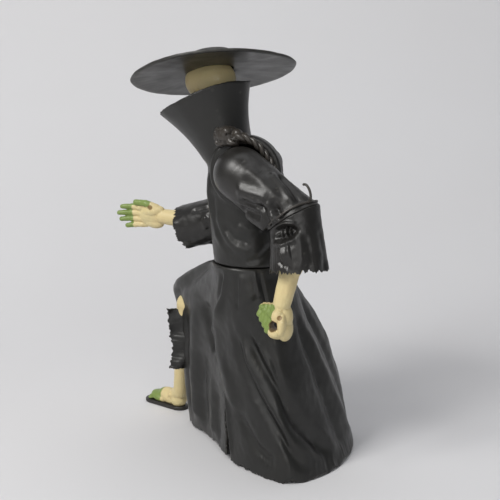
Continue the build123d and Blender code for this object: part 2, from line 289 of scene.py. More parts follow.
def makeMottle():
    # soft blotches of a second colour, at a broad and a fine size
    group, gin, gout = newGroup("pigmentMottle", (
        ("Colour", "NodeSocketColor", None), ("Blotch", "NodeSocketColor", None),
        ("Scale", "NodeSocketFloat", 90.0), ("Amount", "NodeSocketFloat", 0.5)), (("Colour", "NodeSocketColor"),))
    coords = objectCoords(group)
    broad = addNoise(group, coords, gin.outputs["Scale"], 5, 0.6)
    fine = addNoise(group, coords, addMath(group, "MULTIPLY", gin.outputs["Scale"], 7.0), 3, 0.6)
    mask = addMath(group, "MULTIPLY", addMap(group, broad.outputs["Fac"], 0.36, 0.68), gin.outputs["Amount"])
    first = addMix(group, mask, gin.outputs["Colour"], gin.outputs["Blotch"])
    specks = addMath(group, "MULTIPLY", addMap(group, fine.outputs["Fac"], 0.5, 0.75), 0.25)
    group.links.new(addMix(group, specks, first, gin.outputs["Blotch"]), gout.inputs["Colour"])
    return group


def makeRub():
    # edges rubbed lighter by wear; creases darker, which is painted shade on the coat, hat, trim, sole and pins and a
    # brown wash on the skin
    group, gin, gout = newGroup("edgeRubCreaseShadeAndWash", (
        ("Colour", "NodeSocketColor", None), ("Rubbed", "NodeSocketColor", None), ("Crease", "NodeSocketColor", None),
        ("Rub", "NodeSocketFloat", 0.5), ("Dirt", "NodeSocketFloat", 0.5)), (("Colour", "NodeSocketColor"),))
    point = group.nodes.new("ShaderNodeNewGeometry").outputs["Pointiness"]
    patchy = addMap(group, addNoise(group, objectCoords(group), 420, 3).outputs["Fac"], 0.3, 0.65)
    rubbed = addMath(group, "MULTIPLY", addMap(group, point, 0.525, 0.60), gin.outputs["Rub"])
    edge = addMath(group, "MULTIPLY", rubbed, patchy)
    # creases darkened: painted shade on the vinyl pieces, a brown wash on the skin
    dip = addMath(group, "MULTIPLY", addMap(group, point, 0.485, 0.43), gin.outputs["Dirt"])
    worn = addMix(group, edge, gin.outputs["Colour"], gin.outputs["Rubbed"])
    group.links.new(addMix(group, dip, worn, gin.outputs["Crease"]), gout.inputs["Colour"])
    return group


def makeGrain():
    # the fine cast grain of moulded vinyl, with a few flow waves
    group, gin, gout = newGroup("mouldGrain", (("Scale", "NodeSocketFloat", 1500.0), ("Waves", "NodeSocketFloat", 0.3)),
                                (("Height", "NodeSocketFloat"), ("Patch", "NodeSocketFloat")))
    coords = objectCoords(group)
    grain = addNoise(group, coords, gin.outputs["Scale"], 5, 0.62)
    broad = addNoise(group, coords, 160, 3, 0.5)
    waves = addMath(group, "MULTIPLY", broad.outputs["Fac"], gin.outputs["Waves"])
    height = addMath(group, "ADD", grain.outputs["Fac"], waves)
    group.links.new(height, gout.inputs["Height"])
    group.links.new(addMap(group, broad.outputs["Fac"], 0.35, 0.68), gout.inputs["Patch"])
    return group


def makeSprayAndShade():
    # a tint whose edge breaks up into specks: Mask comes from a vertex value; it lays the sprayed green, the brown wash
    # on the hands and the painted shade on the face
    group, gin, gout = newGroup("sprayedTintAndShade", (
        ("Colour", "NodeSocketColor", None), ("Tint", "NodeSocketColor", None), ("Mask", "NodeSocketFloat", 0.0),
        ("Cover", "NodeSocketFloat", 1.0)), (("Colour", "NodeSocketColor"),))
    coords = objectCoords(group)
    broken = addMath(group, "ADD", addMap(group, addNoise(group, coords, 900, 4).outputs["Fac"], 0.3, 0.7, -0.16, 0.16),
                     gin.outputs["Mask"])
    mask = addMath(group, "MULTIPLY", addMap(group, broken, 0.30, 0.62), gin.outputs["Cover"])
    group.links.new(addMix(group, mask, gin.outputs["Colour"], gin.outputs["Tint"]), gout.inputs["Colour"])
    return group


print("making the shader groups")
mottleGroup = makeMottle()
rubGroup = makeRub()
grainGroup = makeGrain()
sprayAndShadeGroup = makeSprayAndShade()


def placeGroup(tree, group, **values):
    node = tree.nodes.new("ShaderNodeGroup")
    node.node_tree = group
    for label, value in values.items():
        if isinstance(value, (int, float, tuple)):
            node.inputs[label].default_value = value
        else:
            tree.links.new(value, node.inputs[label])
    return node


def finishShader(tree, colour, look):
    # the part every material shares: grain bump, patchy gloss and the shader itself
    shader = tree.nodes["Principled BSDF"]
    tree.links.new(colour, shader.inputs["Base Color"])
    grain = placeGroup(tree, grainGroup, Scale=look["grainScale"], Waves=look["waves"])
    bump = tree.nodes.new("ShaderNodeBump")
    bump.inputs["Strength"].default_value = look["grain"]
    bump.inputs["Distance"].default_value = 0.00012
    tree.links.new(grain.outputs["Height"], bump.inputs["Height"])
    tree.links.new(bump.outputs["Normal"], shader.inputs["Normal"])
    tree.links.new(addMap(tree, grain.outputs["Patch"], 0, 1, look["gloss"], look["matt"]), shader.inputs["Roughness"])
    shader.inputs["Specular IOR Level"].default_value = look["shine"]


def newMaterial(name):
    material = bpy.data.materials.new(name)
    material.use_nodes = True
    return material, material.node_tree


def vinylMaterial(name, look):
    material, tree = newMaterial(name)
    base = placeGroup(tree, mottleGroup, Colour=look["colour"], Blotch=look["blotch"], Scale=look["mottle"], Amount=0.6)
    # creases darkened towards the crease colour: painted shade
    worn = placeGroup(tree, rubGroup, Colour=base.outputs["Colour"], Rubbed=look["rubbed"], Crease=look["crease"],
                      Rub=look["rub"], Dirt=look["creaseShade"])
    finishShader(tree, worn.outputs["Colour"], look)
    return material


# crease and creaseShade darken the creases of each vinyl piece: painted shade; rubbed lightens worn edges
coatLook = {
    "colour": (0.0098, 0.0097, 0.0088, 1), "blotch": (0.0150, 0.0145, 0.0125, 1), "rubbed": (0.055, 0.052, 0.045, 1),
    "crease": (0.005, 0.0048, 0.0045, 1), "rub": 0.5, "creaseShade": 0.7, "mottle": 70.0, "grain": 0.35, "grainScale": 1700.0,
    "waves": 0.3, "gloss": 0.34, "matt": 0.47, "shine": 0.5,
}
hatLook = dict(coatLook, colour=(0.0105, 0.0103, 0.0098, 1), gloss=0.34, matt=0.46, grain=0.22)
sleeveLook = dict(coatLook, colour=(0.0110, 0.0104, 0.0096, 1), blotch=(0.018, 0.0165, 0.0145, 1),
                  gloss=0.30, matt=0.44, rub=0.7)
trimLook = dict(coatLook, colour=(0.030, 0.027, 0.024, 1), blotch=(0.05, 0.042, 0.034, 1), gloss=0.28, matt=0.42, rub=0.9)
soleLook = dict(coatLook, colour=(0.022, 0.019, 0.017, 1), gloss=0.45, matt=0.6, grain=0.4)
pinLook = dict(coatLook, colour=(0.03, 0.03, 0.03, 1), blotch=(0.04, 0.04, 0.04, 1), gloss=0.25, matt=0.35, grain=0.1)

coatVinyl = vinylMaterial("coatVinyl", coatLook)
sleeveVinyl = vinylMaterial("sleeveVinyl", sleeveLook)
trimVinyl = vinylMaterial("trimVinyl", trimLook)
solePaint = vinylMaterial("solePaint", soleLook)
pinPlastic = vinylMaterial("pinPlastic", pinLook)

skinLook = {
    "colour": (0.62, 0.53, 0.28, 1), "blotch": (0.66, 0.50, 0.25, 1), "rubbed": (0.74, 0.67, 0.42, 1),
    "crease": (0.30, 0.19, 0.07, 1), "green": (0.150, 0.235, 0.045, 1), "brown": (0.175, 0.095, 0.022, 1),
    "grain": 0.25, "grainScale": 1500.0, "waves": 0.4, "gloss": 0.38, "matt": 0.52, "shine": 0.5, "mottle": 160.0,
}


def skinMaterial(name, look):
    # cast in cream, sprayed green at the fingers and toes, brown where the vertex values say: a brown wash on the
    # hands, painted shade on the face where the collar closes over it, browner at the bottom of the feet; creases take
    # a brown wash
    material, tree = newMaterial(name)
    base = placeGroup(tree, mottleGroup, Colour=look["colour"], Blotch=look["blotch"], Scale=look["mottle"], Amount=0.5)
    worn = placeGroup(tree, rubGroup, Colour=base.outputs["Colour"], Rubbed=look["rubbed"], Crease=look["crease"],
                      Rub=0.5, Dirt=0.75)
    masks = []
    for label in ("greenSpray", "brownWashAndShade"):
        node = tree.nodes.new("ShaderNodeAttribute")
        node.attribute_name = label
        masks.append(node.outputs["Fac"])
    green = placeGroup(tree, sprayAndShadeGroup, Colour=worn.outputs["Colour"], Tint=look["green"], Mask=masks[0], Cover=0.93)
    brown = placeGroup(tree, sprayAndShadeGroup, Colour=green.outputs["Colour"], Tint=look["brown"], Mask=masks[1], Cover=0.85)
    finishShader(tree, brown.outputs["Colour"], look)
    return material


castSkin = skinMaterial("castSkin", skinLook)


def paintVertices(piece, label, rule):
    # a vertex value from each point's place, read by the skin material
    layer = piece.data.attributes.new(label, "FLOAT", "POINT")
    for i, vertex in enumerate(piece.data.vertices):
        layer.data[i].value = rule(vertex.co)


# ---- the skirt of the coat
skirt = {
    "foldLines": (                # side at the waist, hem place in mm, spring, knee push
        (15, (12.5, 10.5), 1.5, 0), (60, (12, 23.5), 1.25, 0), (95, (-3, 28.5), 1.0, 0), (130, (-22, 25), 1.1, 0),
        (165, (-36, 14), 1.8, 0), (200, (-39, -8), 2.2, 0), (225, (-33, -27), 4.5, 0), (243, (-20, -38), 9, 4),
        (258, (-13, -35), 9, 5), (275, (-8, -29), 7, 3), (300, (-0.4, -16), 3, 0), (335, (8.4, -3), 1.8, 0)),
    "kneeCap": {225: 2.5, 243: 8.0, 258: 7.0, 275: 1.6},
    "waistHalf": (11.8, 11.4),
    "top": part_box("waistband")[1].z / mm,
    "slitSide": 243, "slitHalf": 9.0, "columns": 420, "rows": 110,
    "wall": 0.9, "inset": 0.5, "hemStart": 0.86,
    "slitTop": 0.28, "slitOpen": 0.40, "slitSpread": 2.0,
    # height in mm, then start, middle and width in degrees
    "hemLifts": ((1.6, 50, 262, 34), (0.5, -180, 320, 30)),
    "tear": {"start": 0.64, "side": 331, "lean": 12, "width": 1.0, "spread": 3.0},
}


def skirtRing(drop):
    ring = []
    for side, (hemX, hemY), spring, knee in skirt["foldLines"]:
        topX = skirt["waistHalf"][0] * math.cos(math.radians(side))
        topY = skirt["waistHalf"][1] * math.sin(math.radians(side))
        out = 1 - (1 - drop) ** spring
        push = knee * math.sin(math.radians(180 * drop)) / math.hypot(hemX, hemY)
        push += skirt["kneeCap"].get(side, 0) * math.exp(-((drop - 0.27) / 0.11) ** 2) / math.hypot(hemX, hemY)
        ring.append(Vector((topX + (hemX - topX) * out + hemX * push, topY + (hemY - topY) * out + hemY * push, 0)))
    return ring


def alongRing(ring, sides, side):
    # a smooth closed curve through the fold lines, read at a side in degrees
    count = len(ring)
    for i in range(count):
        here, after = sides[i], sides[(i + 1) % count] + (360 if i == count - 1 else 0)
        s = side if side >= sides[0] else side + 360
        if here <= s < after:
            t = (s - here) / (after - here)
            return curvePoint(*(ring[(i + k) % count] for k in (-1, 0, 1, 2)), t)
    return ring[0]


def foldDepth(u, v, folds, period=None):
    # long folds drawn as polylines over a surface, tapering at both ends
    total = 0
    for points, width, height in folds:
        reach = width * 2.4
        for shift in ((-period, 0, period) if period else (0,)):
            pu = u + shift
            best, along, run = 1e9, 0, 0
            for (u0, v0), (u1, v1) in zip(points, points[1:]):
                du, dv = u1 - u0, v1 - v0
                length = math.hypot(du, dv)
                if min(u0, u1) - reach < pu < max(u0, u1) + reach and min(v0, v1) - reach < v < max(v0, v1) + reach:
                    t = min(1, max(0, ((pu - u0) * du + (v - v0) * dv) / (length * length)))
                    far = math.hypot(pu - u0 - du * t, v - v0 - dv * t)
                    if far < best:
                        best, along = far, run + t * length
                run += length
            if best < reach:
                taper = smoothStep(0, 0.18, along / run) * smoothStep(1, 0.85, along / run) if run else 1
                total += height * math.exp(-(best / width) ** 2) * (0.15 + 0.85 * taper)
    return total


# sides in degrees and drops from 0 at the waist to 1 at the hem, then width and height in mm
skirt["folds"] = (
    (((355, 0.0), (352, 0.05), (340, 0.17), (318, 0.30), (296, 0.40)), 1.5, 0.7),
    (((350, 0.02), (330, 0.17), (306, 0.30)), 1.3, -0.7),
    (((268, 0.02), (262, 0.12), (257, 0.26)), 2.4, 0.8),
    (((280, 0.03), (272, 0.14), (266, 0.27), (262, 0.38)), 1.8, -0.8),
    (((290, 0.24), (294, 0.32), (299, 0.42), (307, 0.50)), 1.5, -1.5),
    (((283, 0.26), (282, 0.50), (281, 0.74), (282, 0.97)), 2.0, 1.2),
    (((290, 0.50), (290, 0.72), (292, 0.98)), 1.8, -1.0),
    (((272, 0.35), (272, 0.60), (273, 0.95)), 1.6, -0.9),
    (((303, 0.60), (303, 0.78), (306, 0.98)), 2.0, 0.9),
    (((312, 0.66), (314, 0.80), (318, 0.98)), 1.6, -0.8),
    (((340, 0.12), (320, 0.32), (322, 0.45), (340, 0.57), (356, 0.74)), 3.6, 1.3),
    (((356, 0.30), (9, 0.46), (24, 0.60), (42, 0.72), (64, 0.85), (76, 0.97)), 2.2, -1.5),
    (((12, 0.28), (34, 0.44), (54, 0.57), (73, 0.73), (88, 0.84), (96, 0.95)), 2.3, -1.7),
    (((2, 0.34), (22, 0.50), (40, 0.64), (58, 0.76), (76, 0.90)), 2.2, 0.9),
    (((30, 0.34), (52, 0.50), (74, 0.68), (96, 0.84), (108, 0.96)), 2.2, 0.8),
    (((46, 0.40), (60, 0.55), (76, 0.69), (95, 0.86), (102, 0.96)), 2.0, -1.2),
    (((352, 0.70), (4, 0.78), (17, 0.86), (42, 0.93)), 2.2, -1.0),
    (((24, 0.01), (26, 0.08), (30, 0.16)), 5.5, 0.7),
    (((335, 0.63), (338, 0.78), (342, 0.98)), 0.8, 0.8),
    (((42, 0.0), (42, 0.05), (44, 0.13)), 1.0, 0.6),
    (((49, 0.0), (50, 0.07), (54, 0.18)), 1.2, -0.5),
    (((14, 0.0), (12, 0.08), (6, 0.2)), 1.2, -0.4),
    (((100, 0.20), (108, 0.50), (116, 0.96)), 2.4, -1.1),
    (((116, 0.30), (126, 0.60), (134, 0.96)), 2.4, 1.0),
    (((135, 0.15), (146, 0.50), (152, 0.96)), 2.6, -1.3),
    (((160, 0.20), (168, 0.55), (172, 0.96)), 2.8, 1.2),
    (((180, 0.12), (186, 0.50), (188, 0.96)), 2.8, -1.4),
    (((204, 0.20), (208, 0.55), (208, 0.96)), 2.6, 1.1),
    (((222, 0.15), (224, 0.50), (222, 0.96)), 2.2, -1.0),
)


def unwrapSides(points):
    out = []
    for side, drop in points:
        while out and side - out[-1][0] > 180:
            side -= 360
        while out and side - out[-1][0] < -180:
            side += 360
        out.append((side, drop))
    return out


def makeSkirt():
    sides = [line[0] for line in skirt["foldLines"]]
    columns, rows = skirt["columns"], skirt["rows"]
    folds = [([(side * 0.4, drop * 60) for side, drop in unwrapSides(points)], width, height)
             for points, width, height in skirt["folds"]]
    hem = raggedEdge(columns + 1, 5, 1.7, 0.7)
    grid = []
    for k in range(rows + 1):
        drop = (k / rows) ** 0.92
        ring = skirtRing(drop)
        gap = 0
        if drop >= skirt["slitTop"]:
            gap = skirt["slitHalf"] * smoothStep(skirt["slitTop"], skirt["slitOpen"], drop)
            gap += skirt["slitSpread"] * smoothStep(skirt["slitOpen"], 1, drop)
        row = []
        for i in range(columns + 1):
            # the slit's edges are torn, so its half width wanders down the drop
            wander = 1.5 * bumpy((drop * 14, 0, 0), 1, 3) if gap > 0 else 0
            side = skirt["slitSide"] + 3 + gap + wander + (360 - 2 * gap) * i / columns
            flat = alongRing(ring, sides, side % 360)
            lift = sum(high * math.exp(-(((side - start) % 360 - at) / wide) ** 2)
                       for high, start, at, wide in skirt["hemLifts"])
            z = skirt["top"] * (1 - drop) + (hem[i] * 0.7 + lift) * smoothStep(skirt["hemStart"], 1, drop)
            row.append((side, drop, Vector((flat.x, flat.y, z))))
        grid.append(row)
    moved = []
    for k, row in enumerate(grid):
        line = []
        for i, (side, drop, place) in enumerate(row):
            left, right = row[max(0, i - 1)][2], row[min(columns, i + 1)][2]
            above, below = grid[max(0, k - 1)][i][2], grid[min(rows, k + 1)][i][2]
            out = (right - left).cross(above - below).normalized()
            depth = foldDepth((side % 360) * 0.4, drop * 60, folds, 144)
            depth += 0.35 * bumpy(place, 0.12, 2) * smoothStep(0, 0.3, drop) + 0.10 * bumpy(place, 0.5, 4)
            keep = smoothStep(0, 0.05, drop)
            floor = min(1, 0.35 + (1 - drop) * 6)
            line.append(hips @ ((place + out * (depth * keep * floor - skirt["inset"] * smoothStep(0, 0.06, drop))) * mm))
        moved.append(line)
    bm = bmesh.new()
    gridMesh(bm, moved, closed=False)
    # a narrow tear up from the hem
    torn, tear = [], skirt["tear"]
    for index, face in enumerate(bm.faces):
        side, drop, place = grid[index // columns][index % columns]
        start = tear["start"]
        if drop > start:
            width = tear["width"] + tear["spread"] * (drop - start) / (1 - start) + bumpy((drop * 11, 0, 0), 1, 7)
            if abs((side % 360) - tear["side"] - (drop - start) * tear["lean"]) < width:
                torn.append(face)
    bmesh.ops.delete(bm, geom=torn, context="FACES")
    bmesh.ops.remove_doubles(bm, verts=bm.verts, dist=0.00002)
    bmesh.ops.recalc_face_normals(bm, faces=bm.faces)
    return makePiece("skirtShell", bm, "coat", coatVinyl, ("coat_skirt", "waistband"))


print("making the skirt")
skirtShell = makeSkirt()
useModifier(skirtShell, "SOLIDIFY", thickness=skirt["wall"] * mm, offset=-1, use_rim=True)


def roundedDisc(name, frameAt, radii, z0, z1, body, material, nodes, edge=0.3, steps=96):
    # a low round block with softened edges, closed top and bottom
    bm = bmesh.new()
    rows = []
    profile = [(-edge, z1), (-edge * 0.3, z1 - edge * 0.3), (0, z1 - edge),
               (0, z0 + edge), (-edge * 0.3, z0 + edge * 0.3), (-edge, z0)]
    for out, z in profile:
        rows.append(ringIn(frameAt, (0, 0), (radii[0] + out, radii[1] + out), z, steps))
    closeTube(bm, rows, False)
    bmesh.ops.recalc_face_normals(bm, faces=bm.faces)
    return makePiece(name, bm, body, material, nodes)


# a flat deck closes the skirt under the waistband
roundedDisc("skirtDeck", hips, (11.3, 10.9), skirt["top"] - 2, skirt["top"], "coat", coatVinyl, ())

# ---- hat
hat = {"radius": 25.0, "thick": 1.0, "drop": 1.0, "crown": 7.3, "crownHeight": 6.2, "steps": 240, "warp": 0.7}


def makeHat():
    r, t, d = hat["radius"], hat["thick"], hat["drop"]
    c, h = hat["crown"], hat["crownHeight"]
    # profile from the crown's middle down over the brim, round its rim and back underneath
    profile = [(c * 0.25, h - 0.05), (c * 0.55, h - 0.1), (c * 0.8, h - 0.3), (c * 0.93, h - 0.8), (c * 0.99, h - 1.7),
               (c + 0.05, h - 3.0), (c + 0.25, t + 0.9), (c + 0.8, t + 0.25)]
    for k in range(1, 15):
        s = k / 15
        profile.append((c + 1.2 + (r - c - 1.5) * s, t - d * s ** 1.3 - 0.15 * math.sin(math.pi * s)))
    profile += [(r - 0.25, t - d - 0.12), (r - 0.02, t - d - 0.42), (r - 0.1, -d + 0.22), (r - 0.4, -d + 0.05)]
    for k in range(1, 16):
        s = 1 - k / 16
        profile.append((c - 0.8 + (r - c + 0.3) * s, -d * s ** 1.3 + 0.10))
    profile += [(c - 1.0, 0.3), (c - 1.1, 1.2), (c - 1.2, h - 1.4), (c * 0.6, h - 1.3), (c * 0.25, h - 1.3)]
    rows = []
    for radius, z in profile:
        row = []
        for i in range(hat["steps"]):
            a = 2 * math.pi * i / hat["steps"]
            far = smoothStep(c, r, radius)
            lift = hat["warp"] * far * (0.6 * math.cos(2 * a + 0.6) + 0.4 * math.sin(3 * a + 1.0)) * 0.5
            edge = 1 - 0.004 * far * (1 + math.sin(7 * a) + 0.6 * math.sin(17 * a))
            under = 0.05 * far * bumpy((math.cos(a) * 9, math.sin(a) * 9, 0), 1.4, 6)
            row.append(hatFrame @ (Vector((radius * edge * math.cos(a), radius * edge * math.sin(a), z + lift + under)) * mm))
        rows.append(row)
    bm = bmesh.new()
    closeTube(bm, rows, False)
    bmesh.ops.recalc_face_normals(bm, faces=bm.faces)
    return makePiece("wideHat", bm, "head", hatBrimVinyl, ("hat",))


def brimMaterial(look):
    # brushed streaks run out from the crown
    material, tree = newMaterial("hatBrim")
    coords = objectCoords(tree)
    centre = tree.nodes.new("ShaderNodeVectorMath")
    centre.operation = "SUBTRACT"
    tree.links.new(coords, centre.inputs[0])
    centre.inputs[1].default_value = hatFrame.translation
    split = tree.nodes.new("ShaderNodeSeparateXYZ")
    tree.links.new(centre.outputs[0], split.inputs[0])
    angle = addMath(tree, "ARCTAN2", split.outputs["Y"], split.outputs["X"])
    ring = tree.nodes.new("ShaderNodeCombineXYZ")
    tree.links.new(angle, ring.inputs["X"])
    streaks = addNoise(tree, ring.outputs[0], 26, 4, 0.6)
    base = placeGroup(tree, mottleGroup, Colour=look["colour"], Blotch=look["blotch"], Scale=look["mottle"], Amount=0.5)
    mask = addMath(tree, "MULTIPLY", addMap(tree, streaks.outputs["Fac"], 0.42, 0.72), 0.45)
    streaked = addMix(tree, mask, base.outputs["Colour"], look["rubbed"])
    # creases darkened: painted shade
    worn = placeGroup(tree, rubGroup, Colour=streaked, Rubbed=look["rubbed"], Crease=look["crease"], Rub=0.8, Dirt=0.3)
    finishShader(tree, worn.outputs["Colour"], look)
    return material


hatBrimVinyl = brimMaterial(hatLook)
print("making the hat and head")
wideHat = makeHat()

# ---- head, in the hat's frame: a long plain face, mostly under the collar
headParts = {"height": 17.0, "sink": 3.5, "voxel": 0.28}


def fuse(name, build, voxel, smooth, body, material, nodes=()):
    # several overlapping closed lumps melted into one skin
    bm = bmesh.new()
    build(bm)
    piece = makePiece(name, bm, body, material, nodes)
    useModifier(piece, "REMESH", mode="VOXEL", voxel_size=voxel * mm)
    if smooth:
        useModifier(piece, "SMOOTH", factor=0.5, iterations=smooth)
    return piece


def spotIn(place, x, y, z):
    return place @ (Vector((x, y, z)) * mm)


def eggAt(bm, place, centre, radii, tilt=(0, 0, 0)):
    at = place @ shiftBy(*centre)
    for angle, axis in zip(tilt, "XYZ"):
        at = at @ turnBy(angle, axis)
    addEgg(bm, at, [r * mm for r in radii])


def buildHead(bm):
    low = headParts["sink"] - headParts["height"] / 2
    eggAt(bm, hatFrame, (0, 0, low + 2.2), (6.5, 6.6, 6.4))
    eggAt(bm, hatFrame, (0, -0.4, low - 2.2), (5.3, 5.6, 6.2))
    eggAt(bm, hatFrame, (0, -3.0, low + 2.8), (5.6, 6.0, 5.8))
    eggAt(bm, hatFrame, (0, -1.4, low - 6.0), (2.8, 3.2, 2.2))
    eggAt(bm, hatFrame, (0, -5.6, low + 1.9), (4.2, 1.2, 0.9))
    eggAt(bm, hatFrame, (0, -6.3, low - 0.9), (0.9, 1.2, 2.4), (-12, 0, 0))
    eggAt(bm, hatFrame, (0, -6.9, low - 2.2), (1.2, 1.0, 0.9))
    for side in (-1, 1):
        eggAt(bm, hatFrame, (side * 3.2, -4.3, low - 1.6), (1.8, 1.3, 1.3))
        eggAt(bm, hatFrame, (side * 2.3, -5.2, low + 0.5), (1.15, 0.8, 0.75))
    eggAt(bm, hatFrame, (0, -5.4, low - 4.4), (1.9, 0.7, 0.45))
    eggAt(bm, hatFrame, (0, -5.2, low - 5.0), (1.6, 0.7, 0.5))
    eggAt(bm, hatFrame, (0, -4.3, low - 6.4), (1.5, 1.0, 1.0))


calmHead = fuse("calmHead", buildHead, headParts["voxel"], 3, "head", castSkin, ("head",))
headInverse = hatFrame.inverted()
paintVertices(calmHead, "greenSpray", lambda co: 0.0)
# a brown band across the lower face, where the collar closes over it: painted shade
paintVertices(calmHead, "brownWashAndShade", lambda co: 0.45 * smoothStep(-10.5, -8, (headInverse @ co).z / mm) *
              smoothStep(-4.6, -5.4, (headInverse @ co).y / mm) * smoothStep(-5.5, -7.5, (headInverse @ co).z / mm))

# ---- torso: a fitted bodice with raised rims round its armholes
bodice = {
    "sections": ((0, 0.6, 11.6, 11.4), (11, -0.6, 11.4, 11.6), (21.5, -1.3, 11.3, 11.9), (28.5, -1.8, 11.0, 10.9)),
    "neckTilt": 25.0, "neckY": -7.0, "neckHalf": (10.0, 7.8), "height": 34.0, "voxel": 0.42,
    "rimInner": 7.6, "rimOuter": 11.5, "bore": {1: 8.15, -1: 5.2}, "rim": {1: 10.7, -1: 5.9},
}
shoulderLocal = torso.inverted() @ jointPlace("left_shoulder_swing")
torsoFoot = skirt["top"] + 0.3
neckSeam = torso @ shiftBy(0, bodice["neckY"], torsoFoot + bodice["height"]) @ turnBy(bodice["neckTilt"], "X")
shoulderBore = torso @ shiftBy(0, shoulderLocal.y / mm, shoulderLocal.z / mm) @ turnBy(90, "Y")


def buildBodice(bm):
    rows = [ringIn(torso, (0, y), (rx, ry), torsoFoot + z) for z, y, rx, ry in bodice["sections"]]
    rows.append(ringIn(neckSeam, (0, 0), bodice["neckHalf"], 0))
    smooth = []
    count = len(rows)
    for k in range(count - 1):
        p = [rows[min(count - 1, max(0, k + j))] for j in (-1, 0, 1, 2)]
        for t in (0, 0.25, 0.5, 0.75):
            smooth.append([curvePoint(*points, t) for points in zip(*p)])
    smooth.append(rows[-1])
    closeTube(bm, smooth)
    for side in (-1, 1):
        rings = [ringIn(shoulderBore, (0, 0), (r, r), side * x) for r, x in
                 ((bodice["rim"][side] - 1, bodice["rimInner"] - 2), (bodice["rim"][side], bodice["rimInner"]),
                  (bodice["rim"][side], bodice["rimOuter"] - 0.5), (bodice["rim"][side] - 0.5, bodice["rimOuter"]))]
        closeTube(bm, rings)


collar = {
    "rise": 15.2, "tilt": 20.0, "y": -14.0, "half": (12.0, 14.8), "wall": 1.25, "swell": 1.2,
    # depth in mm, half width and place round the rim in radians
    "nicks": ((1.3, 0.10, 4.35), (0.5, 0.07, 4.95)),
}


def buildCollar(bm):
    # a tall pointed collar leaning forward, one thick wall that grows out of the neck
    seamRows = []
    steps = 120
    rim = torso @ shiftBy(0, collar["y"], torsoFoot + bodice["height"] + collar["rise"]) @ turnBy(collar["tilt"], "X")
    for inset, order in ((0, range(0, 13)), (collar["wall"], range(12, -1, -1))):
        for k in order:
            t = k / 12
            row = []
            for i in range(steps):
                a = 2 * math.pi * i / steps
                point = smoothStep(0.2, 1, -math.sin(a))
                nx, ny = bodice["neckHalf"][0] - inset - 0.2, bodice["neckHalf"][1] - inset - 0.2
                low = neckSeam @ (Vector((nx * math.cos(a), ny * math.sin(a), -0.8)) * mm)
                rx, ry = collar["half"][0] - inset, collar["half"][1] - inset
                high = Vector((rx * math.cos(a) * (1 - 0.22 * point), ry * math.sin(a) + 0.3 * point * math.sin(a), 0))
                high.z += collar["swell"] * math.sin(a + 0.5) ** 2 * (1 if math.cos(a) > 0 else 0.6) * abs(math.cos(a))
                high.z += collar["swell"] * max(0, math.cos(a)) ** 2
                high.z += 0.22 * bumpy((math.cos(a) * 3, math.sin(a) * 3, 0), 1.3, 12)
                high.z -= sum(deep * smoothStep(wide, 0.0, abs(a - at)) for deep, wide, at in collar["nicks"])
                high = rim @ (high * mm)
                place = low.lerp(high, t)
                place += (low - neckSeam.translation).normalized() * (-0.9 * mm * math.sin(math.pi * t))
                row.append(place)
            seamRows.append(row)
    made = gridMesh(bm, seamRows)
    for i in range(steps):
        k = (i + 1) % steps
        bm.faces.new((made[-1][i], made[0][i], made[0][k], made[-1][k]))


def buildUpper(bm):
    buildBodice(bm)
    buildCollar(bm)


def cutWith(piece, build):
    bm = bmesh.new()
    build(bm)
    bmesh.ops.recalc_face_normals(bm, faces=bm.faces)
    mesh = bpy.data.meshes.new("cutter")
    bm.to_mesh(mesh)
    bm.free()
    tool = bpy.data.objects.new("cutter", mesh)
    bpy.context.scene.collection.objects.link(tool)
    useModifier(piece, "BOOLEAN", operation="DIFFERENCE", object=tool, solver="EXACT")
    bpy.data.objects.remove(tool)


def buildBores(bm):
    for side in (-1, 1):
        bore = bodice["bore"][side]
        closeTube(bm, [ringIn(shoulderBore, (0, 0), (bore, bore), side * x) for x in (7.4, 14)])


# places as degrees round the torso (0 its left, 90 its back) and mm above the waist joint
bodice["folds"] = (
    (((-62, 30), (-56, 18), (-40, 9), (-14, 3.5)), 1.5, 0.55),
    (((-52, 24), (-44, 13), (-26, 6.5), (-2, 3)), 1.2, -0.6),
    (((-40, 17), (-28, 10), (-8, 6), (18, 4.5)), 1.3, 0.55),
    (((-24, 13), (-8, 9), (14, 7.5)), 1.1, -0.5),
    (((-6, 12.5), (14, 11), (34, 12)), 1.3, 0.5),
    (((-78, 28), (-76, 16), (-66, 5)), 1.4, -0.4),
    (((8, 1.5), (30, 3), (52, 7)), 1.1, -0.45),
    (((60, 22), (74, 14), (86, 4)), 1.5, 0.5),
    (((52, 18), (66, 9), (74, 3)), 1.3, -0.5),
    (((100, 24), (98, 14), (100, 3)), 1.5, -0.4),
    (((120, 22), (112, 12), (116, 3)), 1.5, 0.5),
    (((150, 14), (168, 9), (190, 7)), 1.2, -0.5),
    (((190, 12), (210, 8), (232, 3)), 1.3, 0.5),
    (((-90, 20), (-92, 10), (-88, 2)), 1.5, -0.5),
)


def creaseBodice(piece):
    inverse = torso.inverted()
    turn = torso.to_3x3()
    folds = [([(a * 0.2, z) for a, z in points], width, height) for points, width, height in bodice["folds"]]
    normals = [v.normal.copy() for v in piece.data.vertices]
    for vertex, normal in zip(piece.data.vertices, normals):
        local = (inverse @ vertex.co) / mm
        high = local.z - torsoFoot
        if high < 0.4 or high > 27:
            continue
        out = turn.inverted() @ normal
        if abs(out.z) > 0.8:
            continue
        if math.hypot(local.y - shoulderLocal.y / mm, local.z - shoulderLocal.z / mm) < 9.7 and abs(local.x) > 7:
            continue
        angle = math.degrees(math.atan2(local.y, local.x))
        depth = foldDepth(angle * 0.2, high, folds, 72) + 0.12 * bumpy(local, 0.35, 9)
        vertex.co += normal * depth * mm * smoothStep(0.3, 2.0, high)


print("making the bodice")
bodiceSkin = fuse("bodiceSkin", buildUpper, bodice["voxel"], 4, "torso", coatVinyl, ("coat_torso", "coat_collar"))
creaseBodice(bodiceSkin)
cutWith(bodiceSkin, buildBores)

